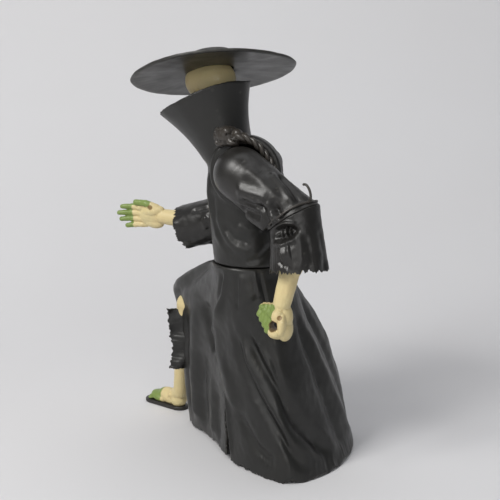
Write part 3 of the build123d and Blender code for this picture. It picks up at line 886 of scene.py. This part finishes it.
# ---- the knotted clasp and the rolled cord on the left shoulder
clasp = {"centre": (18.2, 13.9, 101.3), "voxel": 0.2}


def worldEgg(bm, centre, radii, turn=35.0, tilt=0.0):
    # an egg in millimetres of the whole figure, turned to lie along the shoulder
    at = shiftBy(*centre) @ turnBy(turn, "Z") @ turnBy(tilt, "X")
    addEgg(bm, at, [r * mm for r in radii])


def buildClasp(bm):
    x, y, z = clasp["centre"]
    worldEgg(bm, (x, y, z), (2.6, 3.6, 3.1))
    worldEgg(bm, (x + 1.1, y + 0.6, z + 1.4), (1.9, 1.7, 1.6))
    worldEgg(bm, (x + 0.9, y - 2.6, z + 0.3), (1.9, 1.6, 2.3))
    worldEgg(bm, (x + 1.0, y - 1.5, z - 1.9), (1.6, 2.0, 1.3))
    worldEgg(bm, (x - 0.3, y + 3.4, z + 0.2), (2.1, 1.7, 2.2), tilt=20)
    worldEgg(bm, (x - 1.3, y + 5.2, z - 0.4), (1.9, 1.5, 1.8), tilt=30)
    worldEgg(bm, (x + 0.6, y + 2.3, z - 1.7), (1.6, 1.9, 1.2), tilt=-15)


def dimpleClasp(piece):
    x, y, z = clasp["centre"]
    pits = ((x + 2.6, y - 3.2, z + 0.9, 0.75), (x + 3.0, y - 2.2, z - 1.2, 0.62), (x + 3.0, y - 0.6, z - 1.9, 0.6),
            (x + 2.6, y + 1.9, z + 0.4, 0.5))
    normals = [v.normal.copy() for v in piece.data.vertices]
    for vertex, normal in zip(piece.data.vertices, normals):
        place = vertex.co / mm
        depth = 0.10 * bumpy(place, 0.9, 5)
        for px, py, pz, wide in pits:
            far = (place - Vector((px, py, pz))).length
            depth -= 0.85 * math.exp(-(far / wide) ** 2)
        vertex.co += normal * mm * depth


print("making the clasp and cord")
knottedClasp = fuse("knottedClasp", buildClasp, clasp["voxel"], 2, "torso", trimVinyl, ("shoulder_clasp",))
dimpleClasp(knottedClasp)


def curveThrough(points, steps):
    # a smooth open line through points, with evenly many steps between each pair
    out = []
    count = len(points)
    for k in range(count - 1):
        a, b, c, d = (Vector(points[min(count - 1, max(0, k + j))]) for j in (-1, 0, 1, 2))
        for s in range(steps):
            t = s / steps
            out.append(curvePoint(a, b, c, d, t))
    out.append(Vector(points[-1]))
    return out


def addCordTube(bm, line, radius, sides=14, squeeze=None):
    # a tube along a line in mm; squeeze gives each ring's size from its share of the way
    rows = []
    side = None
    for i, place in enumerate(line):
        run = (line[min(len(line) - 1, i + 1)] - line[max(0, i - 1)]).normalized()
        side = run.orthogonal().normalized() if side is None else (side - run * side.dot(run)).normalized()
        other = run.cross(side)
        r = radius * (squeeze(i / (len(line) - 1)) if squeeze else 1)
        rows.append([(place + (side * math.cos(2 * math.pi * k / sides) + other * math.sin(2 * math.pi * k / sides)) * r) * mm
                     for k in range(sides)])
    closeTube(bm, rows)


def buildCord(bm):
    # two strands twisted round each other, thinning at the lower end
    spine = curveThrough(((19.6, 17.2, 101.2), (18.6, 20.0, 101.2), (17.0, 22.6, 99.6), (15.4, 24.6, 97.0),
                          (14.2, 26.3, 94.0), (13.6, 27.6, 91.0), (13.0, 28.3, 88.6)), 12)
    for strand in (0, math.pi):
        line = []
        for i, place in enumerate(spine):
            run = (spine[min(len(spine) - 1, i + 1)] - spine[max(0, i - 1)]).normalized()
            side = run.cross(up).normalized()
            other = run.cross(side)
            a = strand + i * 0.38
            line.append(place + (side * math.cos(a) + other * math.sin(a)) * 0.5)
        addCordTube(bm, line, 0.78, squeeze=lambda s: 1 - 0.45 * s)


bm = bmesh.new()
buildCord(bm)
bmesh.ops.recalc_face_normals(bm, faces=bm.faces)
twistedCord = makePiece("twistedCord", bm, "torso", trimVinyl, ("shoulder_cord",))

# ---- sleeves
sleeve = {"ball": {"left": 7.8, "right": 4.9}, "elbow": (7.0, 7.4), "middle": (7.3, 7.6), "length": 21.0,
          "steps": 200, "rows": 120, "flat": 11.8}
# degrees round the arm (0 the figure's left, 90 the back) and mm down from the shoulder
sleeve["leftFolds"] = (
    (((-20, 4), (-4, 9), (10, 14)), 1.6, 0.8),
    (((-38, 6), (-24, 11), (-6, 16), (14, 19)), 1.1, -0.9),
    (((30, 2), (30, 8), (26, 13), (12, 17)), 1.8, 0.7),
    (((-62, 7), (-48, 10.5), (-34, 15)), 1.2, -1.0),
    (((-12, 12), (-26, 16), (-44, 19.5)), 1.0, -0.9),
    (((4, 13.5), (-12, 17), (-34, 21)), 0.9, 0.7),
    (((18, 14.5), (4, 18), (-14, 22)), 0.9, -0.8),
    (((60, 8), (52, 14), (36, 20)), 1.3, 0.6),
    (((74, 10), (66, 15), (48, 22)), 1.0, -0.7),
    (((-80, 9), (-66, 13), (-58, 18)), 2.4, 1.2),
    (((110, 8), (104, 14), (96, 21)), 1.4, -0.7),
    (((140, 10), (150, 16), (160, 21)), 1.3, -0.6),
    (((-120, 11), (-104, 15), (-92, 20)), 1.3, -0.8),
    (((-150, 12), (-140, 17)), 1.4, 0.6),
)
sleeve["rightFolds"] = (
    (((150, 6), (166, 12), (178, 19)), 1.4, -0.7),
    (((120, 5), (134, 12), (150, 20)), 1.5, 0.6),
    (((60, 8), (76, 14), (88, 20)), 1.4, -0.7),
    (((-40, 8), (-54, 14), (-70, 20)), 1.4, -0.7),
    (((-110, 8), (-126, 14), (-140, 20)), 1.4, 0.6),
    (((0, 9), (8, 15), (14, 20)), 1.4, 0.6),
)


def makeUpperSleeve(side, folds, seed, node):
    place = arms[side]["shoulder"]
    outward = 1 if side == "left" else -1
    backToTorso = torso.inverted() @ place
    steps, ballR = sleeve["steps"], sleeve["ball"][side]
    tan = math.tan(math.radians(armBend[side] / 2))
    strokes = [([(a * 0.13, z) for a, z in points], width, height) for points, width, height in folds]
    rows = []
    for k in range(-26, sleeve["rows"] + 1):
        row = []
        for i in range(steps):
            angle = 360 * i / steps
            a = math.radians(angle)
            if k < 0:
                tall = math.radians(90 * (-k) / 26.5)
                rx = ry = ballR * math.cos(tall)
                x, y, z = rx * math.cos(a), ry * math.sin(a), ballR * math.sin(tall)
                down = -z
            else:
                t = k / sleeve["rows"]
                mx, my = sleeve["middle"]
                ex, ey = sleeve["elbow"]
                if t < 0.5:
                    s = smoothStep(0, 0.5, t)
                    rx, ry = ballR + (mx - ballR) * s, ballR + (my - ballR) * s
                else:
                    s = smoothStep(0.5, 1, t)
                    rx, ry = mx + (ex - mx) * s, my + (ey - my) * s
                x, y = rx * math.cos(a), ry * math.sin(a)
                z = -(sleeve["length"] - 0.15 + y * tan) * t
                down = -z
            point = Vector((x, y, z))
            out = Vector((x, y, max(0, z))).normalized() if k < 0 else Vector((x, y, 0)).normalized()
            turned = angle if angle <= 180 else angle - 360
            depth = foldDepth(turned * 0.13, down, strokes, 46.8) if down > 1 else 0
            depth += 0.10 * bumpy(point, 0.4, seed) * smoothStep(2, 8, down)
            if k > 0:
                depth *= smoothStep(1.0, 0.93, k / sleeve["rows"])
            point = point + out * depth
            inTorso = backToTorso @ (point * mm)
            side0 = inTorso.x / mm * outward
            if side0 < sleeve["flat"] and point.length > ballR + 0.02:
                # flat beside the body, beyond the rim of the armhole
                inTorso.x = outward * sleeve["flat"] * mm
                row.append(torso @ inTorso)
            else:
                row.append(place @ (point * mm))
        rows.append(row)
    bm = bmesh.new()
    closeTube(bm, rows, False)
    bmesh.ops.recalc_face_normals(bm, faces=bm.faces)
    return makePiece(side + "UpperSleeve", bm, side + "_upper_arm", sleeveVinyl, (node,))


print("making the sleeves")
leftUpperSleeve = makeUpperSleeve("left", sleeve["leftFolds"], 21, "left_upper_sleeve")
rightUpperSleeve = makeUpperSleeve("right", sleeve["rightFolds"], 22, "right_upper_sleeve")

cuff = {"reach": {"left": 15.0, "right": 21.0}, "depth": 8.0, "mouths": {"left": 8.2, "right": 7.2},
        "wall": 1.0, "rows": 90}
# degrees round the arm and mm down from the elbow
cuff["leftFolds"] = (
    (((-42, 2.2), (-8, 1.0), (26, 1.6)), 0.5, 0.7),
    (((-40, 6.2), (-8, 6.9), (22, 5.8)), 0.6, 0.7),
    (((-36, 4.4), (-26, 3.2), (-8, 2.6), (12, 2.8), (22, 3.4), (12, 4.5), (-8, 5.1), (-26, 5.1), (-36, 4.4)), 0.8, -1.5),
    (((-24, 4.1), (-6, 3.9), (10, 3.7)), 1.0, -1.6),
    (((-18, 2.6), (-15, 5.2)), 0.35, 1.3),
    (((-5, 2.4), (-2, 5.2)), 0.35, 1.2),
    (((9, 2.4), (10, 4.8)), 0.3, 1.1),
    (((-14, 9.4), (10, 9.0)), 2.6, 1.3),
    (((-62, 7), (-58, 11), (-58, 15)), 1.2, -0.32),
    (((-6, 5), (2, 10), (4, 15)), 1.0, -0.28),
    (((22, 3), (26, 9), (24, 15)), 1.3, 0.28),
    (((40, 4), (48, 10), (46, 15)), 1.0, -0.28),
    (((-20, 11), (-10, 12.4), (6, 13)), 0.7, -0.5),
    (((80, 3), (86, 9), (84, 15)), 1.3, -0.28),
    (((130, 3), (136, 9), (134, 15)), 1.3, 0.24),
    (((-110, 3), (-114, 9), (-112, 15)), 1.3, -0.28),
    (((180, 4), (176, 10), (178, 15)), 1.2, -0.24),
)
cuff["rightFolds"] = (
    (((-30, 8), (-14, 9.5), (6, 9)), 1.0, 0.6),
    (((-20, 3), (-4, 4.5), (16, 5)), 1.2, -0.6),
    (((10, 3), (30, 5), (46, 9)), 1.3, 0.6),
    (((36, 2), (50, 6), (60, 12)), 1.0, -0.7),
    (((60, 3), (76, 7), (84, 13)), 1.2, 0.6),
    (((-60, 3), (-50, 8), (-52, 14)), 1.1, -0.6),
    (((110, 2), (116, 8), (112, 14)), 1.3, -0.7),
    (((150, 3), (156, 9), (154, 15)), 1.2, 0.6),
    (((-120, 3), (-124, 9), (-120, 15)), 1.2, -0.7),
)


def makeLowerSleeve(side, folds, seed, node, stretch):
    place = arms[side]["lower"]
    steps = sleeve["steps"]
    sleeveLength, mouthRadius = cuff["reach"][side], cuff["mouths"][side]
    tan = math.tan(math.radians(armBend[side] / 2))
    strokes = [([(a * 0.13, z) for a, z in points], width, height) for points, width, height in folds]
    tear = raggedEdge(steps, seed, 1.5, 0.7)
    rows = []
    for k in range(cuff["rows"] + 1):
        t = k / cuff["rows"]
        row = []
        for i in range(steps):
            angle = 360 * i / steps
            a = math.radians(angle)
            ex, ey = sleeve["elbow"]
            s = smoothStep(0.1, 1, t)
            rx, ry = ex + (mouthRadius - ex) * s, ey + (mouthRadius - ey) * s
            x, y = rx * math.cos(a), ry * math.sin(a)
            end = sleeveLength - tear[i] + stretch * max(0, math.cos(a - math.radians(60)))
            down = -y * tan + 0.15 + (end + y * tan - 0.15) * t
            point = Vector((x, y, -down))
            turned = angle if angle <= 180 else angle - 360
            depth = foldDepth(turned * 0.13, down, strokes, 46.8) + 0.10 * bumpy(point, 0.5, seed)
            depth += 0.25 * smoothStep(0.8, 1, t) * math.sin(angle * 0.14 + seed)
            depth *= smoothStep(0, 0.07, t)
            row.append(place @ ((point + Vector((x, y, 0)).normalized() * depth) * mm))
        rows.append(row)
    # the inside of the cuff, back up to its floor
    mouth = rows[-1]
    for k in range(1, 15):
        t = k / 14
        row = []
        for i in range(steps):
            a = 2 * math.pi * i / steps
            outer = rows[max(0, cuff["rows"] - int(k * cuff["rows"] * 0.55 / 14))][i]
            local = place.inverted() @ outer
            radius = math.hypot(local.x, local.y) - cuff["wall"] * mm * min(1, k / 2)
            row.append(place @ Vector((radius * math.cos(a), radius * math.sin(a), local.z)))
        rows.append(row)
    bm = bmesh.new()
    made = gridMesh(bm, rows)
    capRow(bm, made[0])
    capRow(bm, made[-1])
    bmesh.ops.recalc_face_normals(bm, faces=bm.faces)
    return makePiece(side + "LowerSleeve", bm, side + "_lower_arm", sleeveVinyl, (node,))


leftLowerSleeve = makeLowerSleeve("left", cuff["leftFolds"], 31, "left_lower_sleeve", 0.6)
rightLowerSleeve = makeLowerSleeve("right", cuff["rightFolds"], 37, "right_lower_sleeve", 0.0)

# ---- the cord tied round the left elbow, with one open loop
tie = {"ring": 7.2, "cord": 0.34}


def buildTie(bm):
    seam = arms["left"]["seam"]
    line = []
    for i in range(97):
        a = 2 * math.pi * i / 96
        wide = tie["ring"] + 0.18 * math.sin(a * 5) + 0.12 * math.sin(a * 11 + 1)
        at = seam @ (Vector((wide * math.cos(a), (wide + 0.4) * math.sin(a), 1.5 + 0.25 * math.sin(3 * a))) * mm)
        line.append(at / mm)
    addCordTube(bm, line, tie["cord"])
    foot = (seam @ (Vector((7.4 * math.cos(1.25), 7.8 * math.sin(1.25), 1.6)) * mm)) / mm
    out = (seam.to_3x3() @ Vector((math.cos(1.25), math.sin(1.25), 0))).normalized()
    rise = (seam.to_3x3() @ Vector((0, 0, 1))).normalized()
    loop = [foot - out * 0.5, foot + out * 0.5 + rise * 0.6, foot + out * 1.3 + rise * 2.4, foot + out * 1.2 + rise * 4.2,
            foot + out * 0.3 + rise * 4.9]
    addCordTube(bm, curveThrough(loop, 8), tie["cord"] * 1.05)


bm = bmesh.new()
buildTie(bm)
bmesh.ops.recalc_face_normals(bm, faces=bm.faces)
elbowTie = makePiece("elbowTie", bm, "left_upper_arm", trimVinyl, ("left_elbow_tie",))

# ---- hands and forearms
leftHand = {"bend": 20.0, "arm": 18.0, "voxel": 0.18}
rightHand = {"bend": 20.0, "palmBend": -6.0, "arm": 15.0, "voxel": 0.18}


def wristFrame(side, look):
    floorAt = cuff["reach"][side] - cuff["depth"]
    return arms[side]["lower"] @ shiftBy(0, 0, -floorAt) @ turnBy(-look["bend"], "X") @ shiftBy(0, 0, -look["arm"])


def limbIn(bm, place, start, end, r0, r1):
    addLimb(bm, spotIn(place, *start), spotIn(place, *end), r0 * mm, r1 * mm)


leftWrist = wristFrame("left", leftHand)
rightWrist = wristFrame("right", rightHand)
rightPalm = rightWrist @ turnBy(-rightHand["palmBend"], "X")
gripAt = Vector(mounts["left_grip"]["pos_m"])
gripAxis = Vector(mounts["left_grip"]["axis"]).normalized()
fist = frameOf(gripAt, gripAxis, leftWrist.to_3x3() @ Vector((0, 0, 1)))


def buildLeftForearm(bm):
    length = leftHand["arm"]
    limbIn(bm, leftWrist, (0, 0, length + 2), (0, 0, 0.5), 3.3, 2.6)
    eggAt(bm, leftWrist, (0.3, 0.9, length - 5), (3.0, 2.9, 5.5))
    limbIn(bm, leftWrist, (1.5, 1.2, length - 2), (1.2, 0.8, 3.0), 1.7, 1.3)
    limbIn(bm, leftWrist, (1.4, -1.3, length - 3), (1.3, -0.9, 2.0), 1.5, 1.2)
    # palm, heel and the ball of the thumb round the grip
    eggAt(bm, fist, (-0.6, 0.9, 1.6), (3.2, 3.1, 5.0))
    eggAt(bm, fist, (-0.8, 2.4, -0.4), (3.1, 2.2, 3.6), (14, 0, 0))
    eggAt(bm, fist, (0.6, 0.6, -1.9), (2.8, 2.5, 1.9))
    eggAt(bm, fist, (1.6, 0.3, 2.9), (2.0, 1.9, 2.2))
    eggAt(bm, fist, (1.9, 2.3, 1.0), (1.6, 1.2, 3.2), (10, 0, 0))
    # four bent fingers side by side
    for k in range(4):
        y = -1.7 - 1.35 * k
        low, high = -2.0 + 1.15 * k, 5.6 - 0.4 * k
        limbIn(bm, fist, (0.9 - 0.5 * k, y - 0.3, low), (0.6 - 0.5 * k, y, high - 0.6), 1.05, 0.9)
        limbIn(bm, fist, (-0.8 - 0.3 * k, y, high - 0.4), (-2.4, y + 0.4, high - 3.0), 0.9, 0.9)
        eggAt(bm, fist, (0.9 - 0.5 * k, y - 0.1, (low + high) / 2 + 0.6), (1.15, 0.95, 1.1))


def buildRightForearm(bm):
    length = rightHand["arm"]
    limbIn(bm, rightWrist, (0, 0, length + 2), (0, 0, 0), 3.3, 2.5)
    eggAt(bm, rightWrist, (0, 0.3, length - 5), (2.8, 2.8, 4.0))
    limbIn(bm, rightWrist, (1.1, -1.0, length - 3), (0.9, -0.9, 0.5), 1.5, 1.2)
    # a long flat palm, thumb upwards
    eggAt(bm, rightPalm, (0, -0.2, -4.2), (2.0, 4.0, 5.2))
    eggAt(bm, rightPalm, (0.4, -1.9, -3.4), (1.9, 2.0, 4.4), (8, 0, 0))
    eggAt(bm, rightPalm, (0, 2.1, -3.8), (1.8, 2.2, 3.8), (-10, 0, 0))
    for k in range(4):
        y = (1.5 - k) * 1.95
        reach = (6.2, 8.2, 8.9, 7.6)[k]
        sag = (0.3, 0.1, 0.0, -0.2)[k]
        middle = (sag, y * 1.05, -8.0 - reach * 0.45)
        limbIn(bm, rightPalm, (0, y, -6.6), middle, 1.12, 1.02)
        limbIn(bm, rightPalm, middle, (sag + 0.9, y * 1.12, -8.0 - reach + 0.8), 1.0, 0.78)
        eggAt(bm, rightPalm, (sag, y * 1.05, -8.0 - reach * 0.45), (1.2, 1.12, 1.15))
        eggAt(bm, rightPalm, (0.2, y, -8.0), (1.3, 1.15, 1.3))
    limbIn(bm, rightPalm, (0.4, -2.8, -2.0), (0.9, -4.7, -5.4), 1.5, 1.2)
    limbIn(bm, rightPalm, (0.9, -4.7, -5.4), (0.7, -4.9, -9.3), 1.15, 0.95)


print("making the hands")
leftForearm = fuse("leftForearm", buildLeftForearm, leftHand["voxel"], 3, "left_lower_arm", castSkin, ("left_forearm",))
rightForearm = fuse("rightForearm", buildRightForearm, rightHand["voxel"], 3, "right_lower_arm", castSkin,
                    ("right_forearm",))


def boreGrip(piece):
    # opens a round hole through the fist along the grip's axis and lines it with a tube
    back = fist.inverted()
    radius = mounts["left_grip"]["dims"]["r_mm"]
    bm = bmesh.new()
    bm.from_mesh(piece.data)
    for vert in bm.verts:
        p = (back @ vert.co) / mm
        far = math.hypot(p.y, p.z)
        if abs(p.x) < 8 and radius < far < radius + 0.3:
            vert.co = spotIn(fist, p.x, p.y * radius / far, p.z * radius / far)
    inside = []
    for face in bm.faces:
        p = (back @ face.calc_center_median()) / mm
        if abs(p.x) < 8 and math.hypot(p.y, p.z) < radius:
            inside.append(face)
    bmesh.ops.delete(bm, geom=inside, context="FACES")
    rims = {1: [], -1: []}
    for vert in bm.verts:
        if any(edge.is_boundary for edge in vert.link_edges):
            p = (back @ vert.co) / mm
            rims[1 if p.x > 0 else -1].append(p)
    rows = []
    for t in (0, 0.5, 1):
        row = []
        for i in range(48):
            a = 2 * math.pi * i / 48
            y, z = radius * math.cos(a), radius * math.sin(a)
            ends = [min(rims[k], key=lambda p: (p.y - y) ** 2 + (p.z - z) ** 2).x for k in (1, -1)]
            row.append(spotIn(fist, ends[0] + (ends[1] - ends[0]) * t, y * 1.01, z * 1.01))
        rows.append(row)
    gridMesh(bm, rows)
    bmesh.ops.recalc_face_normals(bm, faces=bm.faces)
    bm.to_mesh(piece.data)
    bm.free()
    for face in piece.data.polygons:
        face.use_smooth = True


def wearSkin(piece, seed):
    normals = [v.normal.copy() for v in piece.data.vertices]
    for vertex, normal in zip(piece.data.vertices, normals):
        place = vertex.co / mm
        vertex.co += normal * mm * (0.10 * bumpy(place, 0.45, seed) + 0.045 * bumpy(place, 1.3, seed + 1))


wearSkin(leftForearm, 41)
boreGrip(leftForearm)
wearSkin(rightForearm, 43)
fistBack = fist.inverted()
rightBack = rightPalm.inverted()


def leftGreen(co):
    p = (fistBack @ co) / mm
    tips = smoothStep(0.9, -0.2, p.z - (5.2 - 0.28 * (-p.y - 1.7)))
    return smoothStep(-0.7, -1.5, p.y) * (0.12 + 0.88 * tips)


def leftBrown(co):
    p = (fistBack @ co) / mm
    far = math.hypot(p.y, p.z)
    mark = math.hypot(p.y - 1.6, p.z - 2.9)
    return max(smoothStep(2.0, 1.2, far), 0.9 * smoothStep(1.0, 0.4, mark)) * (1 if p.x > -4 else 0)


paintVertices(leftForearm, "greenSpray", leftGreen)
paintVertices(leftForearm, "brownWashAndShade", leftBrown)


def rightGreen(co):
    p = (rightBack @ co) / mm
    thumb = smoothStep(-3.4, -4.2, p.y) * smoothStep(-3.0, -4.4, p.z)
    return max(smoothStep(-10.2, -12.0, p.z), thumb)


def rightBrown(co):
    p = (rightBack @ co) / mm
    return 0.8 * smoothStep(1.3, 0.5, math.hypot(p.y + 3.6, p.z + 3.6))


paintVertices(rightForearm, "greenSpray", rightGreen)
paintVertices(rightForearm, "brownWashAndShade", rightBrown)

# ---- legs and sandals
leg = {
    "right": {"knee": (-15.6, -36.6, 41.0), "ankle": (-20.6, -44.6, 7.0), "foot": (-22.7, -52.5), "turn": -8.0, "hip": -6.6},
    "left": {"knee": (5.4, 8.5, 31.0), "ankle": (4.5, 13.0, 6.5), "foot": (4.5, 9.5), "turn": 12.0, "hip": 6.6},
    "voxel": 0.28, "footLength": 19.5, "sole": 1.3, "hipHeight": 50.0,
}


def footFrame(side):
    x, y = leg[side]["foot"]
    return hips @ shiftBy(x, y, 0) @ turnBy(leg[side]["turn"], "Z")


def buildLeg(side):
    def build(bm):
        look = leg[side]
        foot = footFrame(side)
        hip = (look["hip"], 0, leg["hipHeight"])
        limbIn(bm, hips, hip, look["knee"], 2.2, 4.0)
        limbIn(bm, hips, look["knee"], look["ankle"], 3.9, 2.5)
        x, y, z = look["knee"]
        eggAt(bm, hips, (x - 0.2, y - 0.8, z - 0.5), (3.4, 3.6, 3.9))
        x, y, z = [k + (a - k) * 0.35 for k, a in zip(look["knee"], look["ankle"])]
        eggAt(bm, hips, (x, y + 1.2, z), (3.5, 3.5, 7.5))
        # instep, heel and five toes over the sole
        eggAt(bm, foot, (0, 6.2, 3.4), (2.9, 3.2, 2.9))
        eggAt(bm, foot, (0, 2.0, 3.6), (3.0, 5.4, 2.7), (-10, 0, 0))
        eggAt(bm, foot, (0, -2.6, 2.7), (3.4, 4.6, 1.9), (-8, 0, 0))
        limbIn(bm, hips, look["ankle"], tuple((hips.inverted() @ spotIn(foot, 0, 3.6, 4.0)) / mm), 2.5, 2.4)
        for k in range(5):
            x = (k - 2) * 1.32 * (1 if side == "right" else -1)
            reach = (9.3, 9.2, 8.8, 8.2, 7.4)[k]
            wide = (1.0, 0.78, 0.74, 0.7, 0.66)[k]
            limbIn(bm, foot, (x * 0.95, -4.6, 2.5), (x, -reach + wide + 0.4, 1.3 + wide * 0.9), wide * 1.1, wide)
            limbIn(bm, foot, (x * 0.7, 0.4, 4.6), (x, -5.2, 2.9), 0.5, 0.5)
        for ankleSide in (-1, 1):
            eggAt(bm, foot, (ankleSide * 2.3, 4.2, 5.2), (0.9, 1.1, 1.1))
    return build


def makeSandal(side):
    # a thin sole with a worn, wandering edge
    foot = footFrame(side)
    half, small = leg["footLength"] / 2, 3.7
    outline = []
    for i in range(120):
        a = 2 * math.pi * i / 120
        if math.sin(a) < 0:
            x, y = small * math.cos(a), -half + small + small * math.sin(a)
        else:
            x, y = 2.96 * math.cos(a), half - 2.96 + 2.96 * math.sin(a)
        edge = 1 + 0.012 * math.sin(7 * a + 1) + 0.010 * math.sin(13 * a)
        outline.append((x * edge, y))
    rows = []
    for out, z in ((-0.5, 1.32), (-0.12, 1.24), (0, 0.95), (-0.03, 0.5), (-0.08, 0.2), (-0.35, 0.02)):
        row = []
        for x, y in outline:
            length = math.hypot(x, y)
            row.append(foot @ (Vector((x + x / length * out, y + y / length * out, z)) * mm))
        rows.append(row)
    bm = bmesh.new()
    closeTube(bm, rows, False)
    bmesh.ops.recalc_face_normals(bm, faces=bm.faces)
    return makePiece(side + "Sole", bm, side + "_leg", solePaint, (side + "_sandal",))


print("making the legs")
for side in ("left", "right"):
    limb = fuse(side + "Shin", buildLeg(side), leg["voxel"], 3, side + "_leg", castSkin, (side + "_leg",))
    for vertex in limb.data.vertices:
        # the foot rests flat on its sole
        vertex.co.z = max(vertex.co.z, (leg["sole"] - 0.05) * mm)
    wearSkin(limb, 51)
    back = footFrame(side).inverted()
    paintVertices(limb, "greenSpray", lambda co: smoothStep(0.2, -1.6, ((back @ co) / mm).y) *
                  smoothStep(9, 6, ((back @ co) / mm).z))
    # browner towards the bottom of the foot, next to the sole
    paintVertices(limb, "brownWashAndShade", lambda co: 0.30 * smoothStep(3.0, 1.2, ((back @ co) / mm).z))
    makeSandal(side)

# ---- the torn strip that hangs inside the slit
strip = {"rows": 70, "columns": 26, "thick": 0.8}


def makeStrip():
    across = Vector((-0.574, 0.819, 0))
    away = Vector((-0.819, -0.574, 0))
    rng = random.Random(17)
    nicks = [rng.uniform(-0.55, 0.55) for _ in range(40)]
    rows = []
    for k in range(strip["rows"] + 1):
        t = k / strip["rows"]
        z = 39.6 - 20.6 * t
        nick = nicks[int(t * 38)] * (1 - (t * 38) % 1) + nicks[int(t * 38) + 1] * ((t * 38) % 1)
        left = -27.9 + 0.9 * math.sin(t * 4.2) + 1.4 * smoothStep(0.45, 0.62, t) + nick * 0.8 - 0.4 * smoothStep(0.8, 0.6, t)
        right = -20.8 - 1.6 * smoothStep(0.7, 1, t)
        row = []
        for i in range(strip["columns"] + 1):
            s = i / strip["columns"]
            wave = 0.7 * math.sin(s * 3.1 + t * 3) + 0.35 * math.sin(t * 17 + s * 3)
            hang = z + (0.9 * bumpy((s * 5, t * 3, 0), 1, 8) if k == 0 else 0)
            if k == strip["rows"]:
                hang += 1.2 * abs(bumpy((s * 9, 1, 0), 1, 9)) - 0.3 * math.sin(s * math.pi)
            depth = 31.5 + wave
            p = across * (left + (right - left) * s) + away * depth
            row.append(hips @ (Vector((p.x, p.y, hang)) * mm))
        rows.append(row)
    bm = bmesh.new()
    gridMesh(bm, rows, closed=False)
    bmesh.ops.recalc_face_normals(bm, faces=bm.faces)
    piece = makePiece("tornStrip", bm, "coat", coatVinyl, ())
    useModifier(piece, "SOLIDIFY", thickness=strip["thick"] * mm, offset=0)
    return piece


makeStrip()

# ---- inner pieces keep their drawn shape and take a surface
print("covering the inner pieces")
for node in ("pelvis_block", "hip_bar", "chest_core", "waist_pin", "neck_peg", "left_shoulder_pin",
             "right_shoulder_pin", "left_elbow_pin", "right_elbow_pin"):
    drawn = frame["nodes"][node]
    if not drawn.data.materials:
        drawn.data.materials.append(pinPlastic)
    for part in drawn.material_slots:
        part.material = pinPlastic

# ---- floor, light and camera
print("setting the stage")
studio = {"floor": (0.70, 0.70, 0.715, 1), "fleck": (0.68, 0.675, 0.685, 1)}
viewAhead = Vector((-0.819, -0.574, 0))
viewSide = Vector((-0.574, 0.819, 0))


def makeFloor():
    bm = bmesh.new()
    start = Vector((waistAxis.x, waistAxis.y, 0))
    rows = []
    profile = [(-0.9, 0.0), (0.12, 0.0)]
    for k in range(1, 13):
        a = math.pi / 2 * k / 12
        profile.append((0.12 + 0.35 * math.sin(a), 0.35 * (1 - math.cos(a))))
    profile.append((0.47, 1.1))
    for deep, z in profile:
        rows.append([start + viewAhead * deep + viewSide * w + up * z for w in (-1.4, -0.7, 0, 0.7, 1.4)])
    gridMesh(bm, rows, closed=False)
    bmesh.ops.recalc_face_normals(bm, faces=bm.faces)
    mesh = bpy.data.meshes.new("sweep")
    bm.to_mesh(mesh)
    bm.free()
    for face in mesh.polygons:
        face.use_smooth = True
    floor = bpy.data.objects.new("sweep", mesh)
    bpy.context.scene.collection.objects.link(floor)
    material, tree = newMaterial("paper")
    shader = tree.nodes["Principled BSDF"]
    shader.inputs["Roughness"].default_value = 0.85
    shader.inputs["Specular IOR Level"].default_value = 0.2
    coords = objectCoords(tree)
    tint = addNoise(tree, coords, 4, 3)
    tree.links.new(addMix(tree, addMap(tree, tint.outputs["Fac"], 0.3, 0.7), studio["floor"], studio["fleck"]),
                   shader.inputs["Base Color"])
    mesh.materials.append(material)


makeFloor()


def addArea(name, place, aimAt, size, power, tint):
    lamp = bpy.data.lights.new(name, "AREA")
    lamp.shape = "RECTANGLE"
    lamp.size, lamp.size_y = size
    lamp.energy = power
    lamp.color = tint
    item = bpy.data.objects.new(name, lamp)
    item.location = place
    item.rotation_euler = (Vector(aimAt) - Vector(place)).to_track_quat("-Z", "Y").to_euler()
    bpy.context.scene.collection.objects.link(item)


middle = Vector((waistAxis.x, waistAxis.y, 0.06))
addArea("keyWindow", middle - viewSide * 0.50 - viewAhead * 0.50 + up * 0.58, middle, (0.36, 0.36), 6.6, (1.0, 0.985, 0.96))
addArea("topSoft", middle + viewAhead * 0.1 + up * 0.95, middle, (0.7, 0.7), 2.0, (0.97, 0.98, 1.0))
addArea("frontFill", middle - viewAhead * 0.9 + viewSide * 0.15 + up * 0.35, middle, (0.5, 0.5), 1.6, (1.0, 0.99, 0.98))

world = bpy.data.worlds.new("room")
world.use_nodes = True
world.node_tree.nodes["Background"].inputs["Color"].default_value = (0.75, 0.77, 0.8, 1)
world.node_tree.nodes["Background"].inputs["Strength"].default_value = 0.24
bpy.context.scene.world = world
bpy.context.scene.view_settings.view_transform = "Standard"

camera = bpy.data.cameras.new("camera")
camera.sensor_width = 36
camera.lens = 74.7
eye = bpy.data.objects.new("camera", camera)
bpy.context.scene.collection.objects.link(eye)
aim = Vector((waistAxis.x, waistAxis.y, 0.066))
eye.location = Vector((waistAxis.x, waistAxis.y, 0.125)) - viewAhead * 0.310
eye.rotation_euler = (aim - eye.location).to_track_quat("-Z", "Y").to_euler()
camera.clip_start, camera.clip_end = 0.01, 10
bpy.context.scene.camera = eye
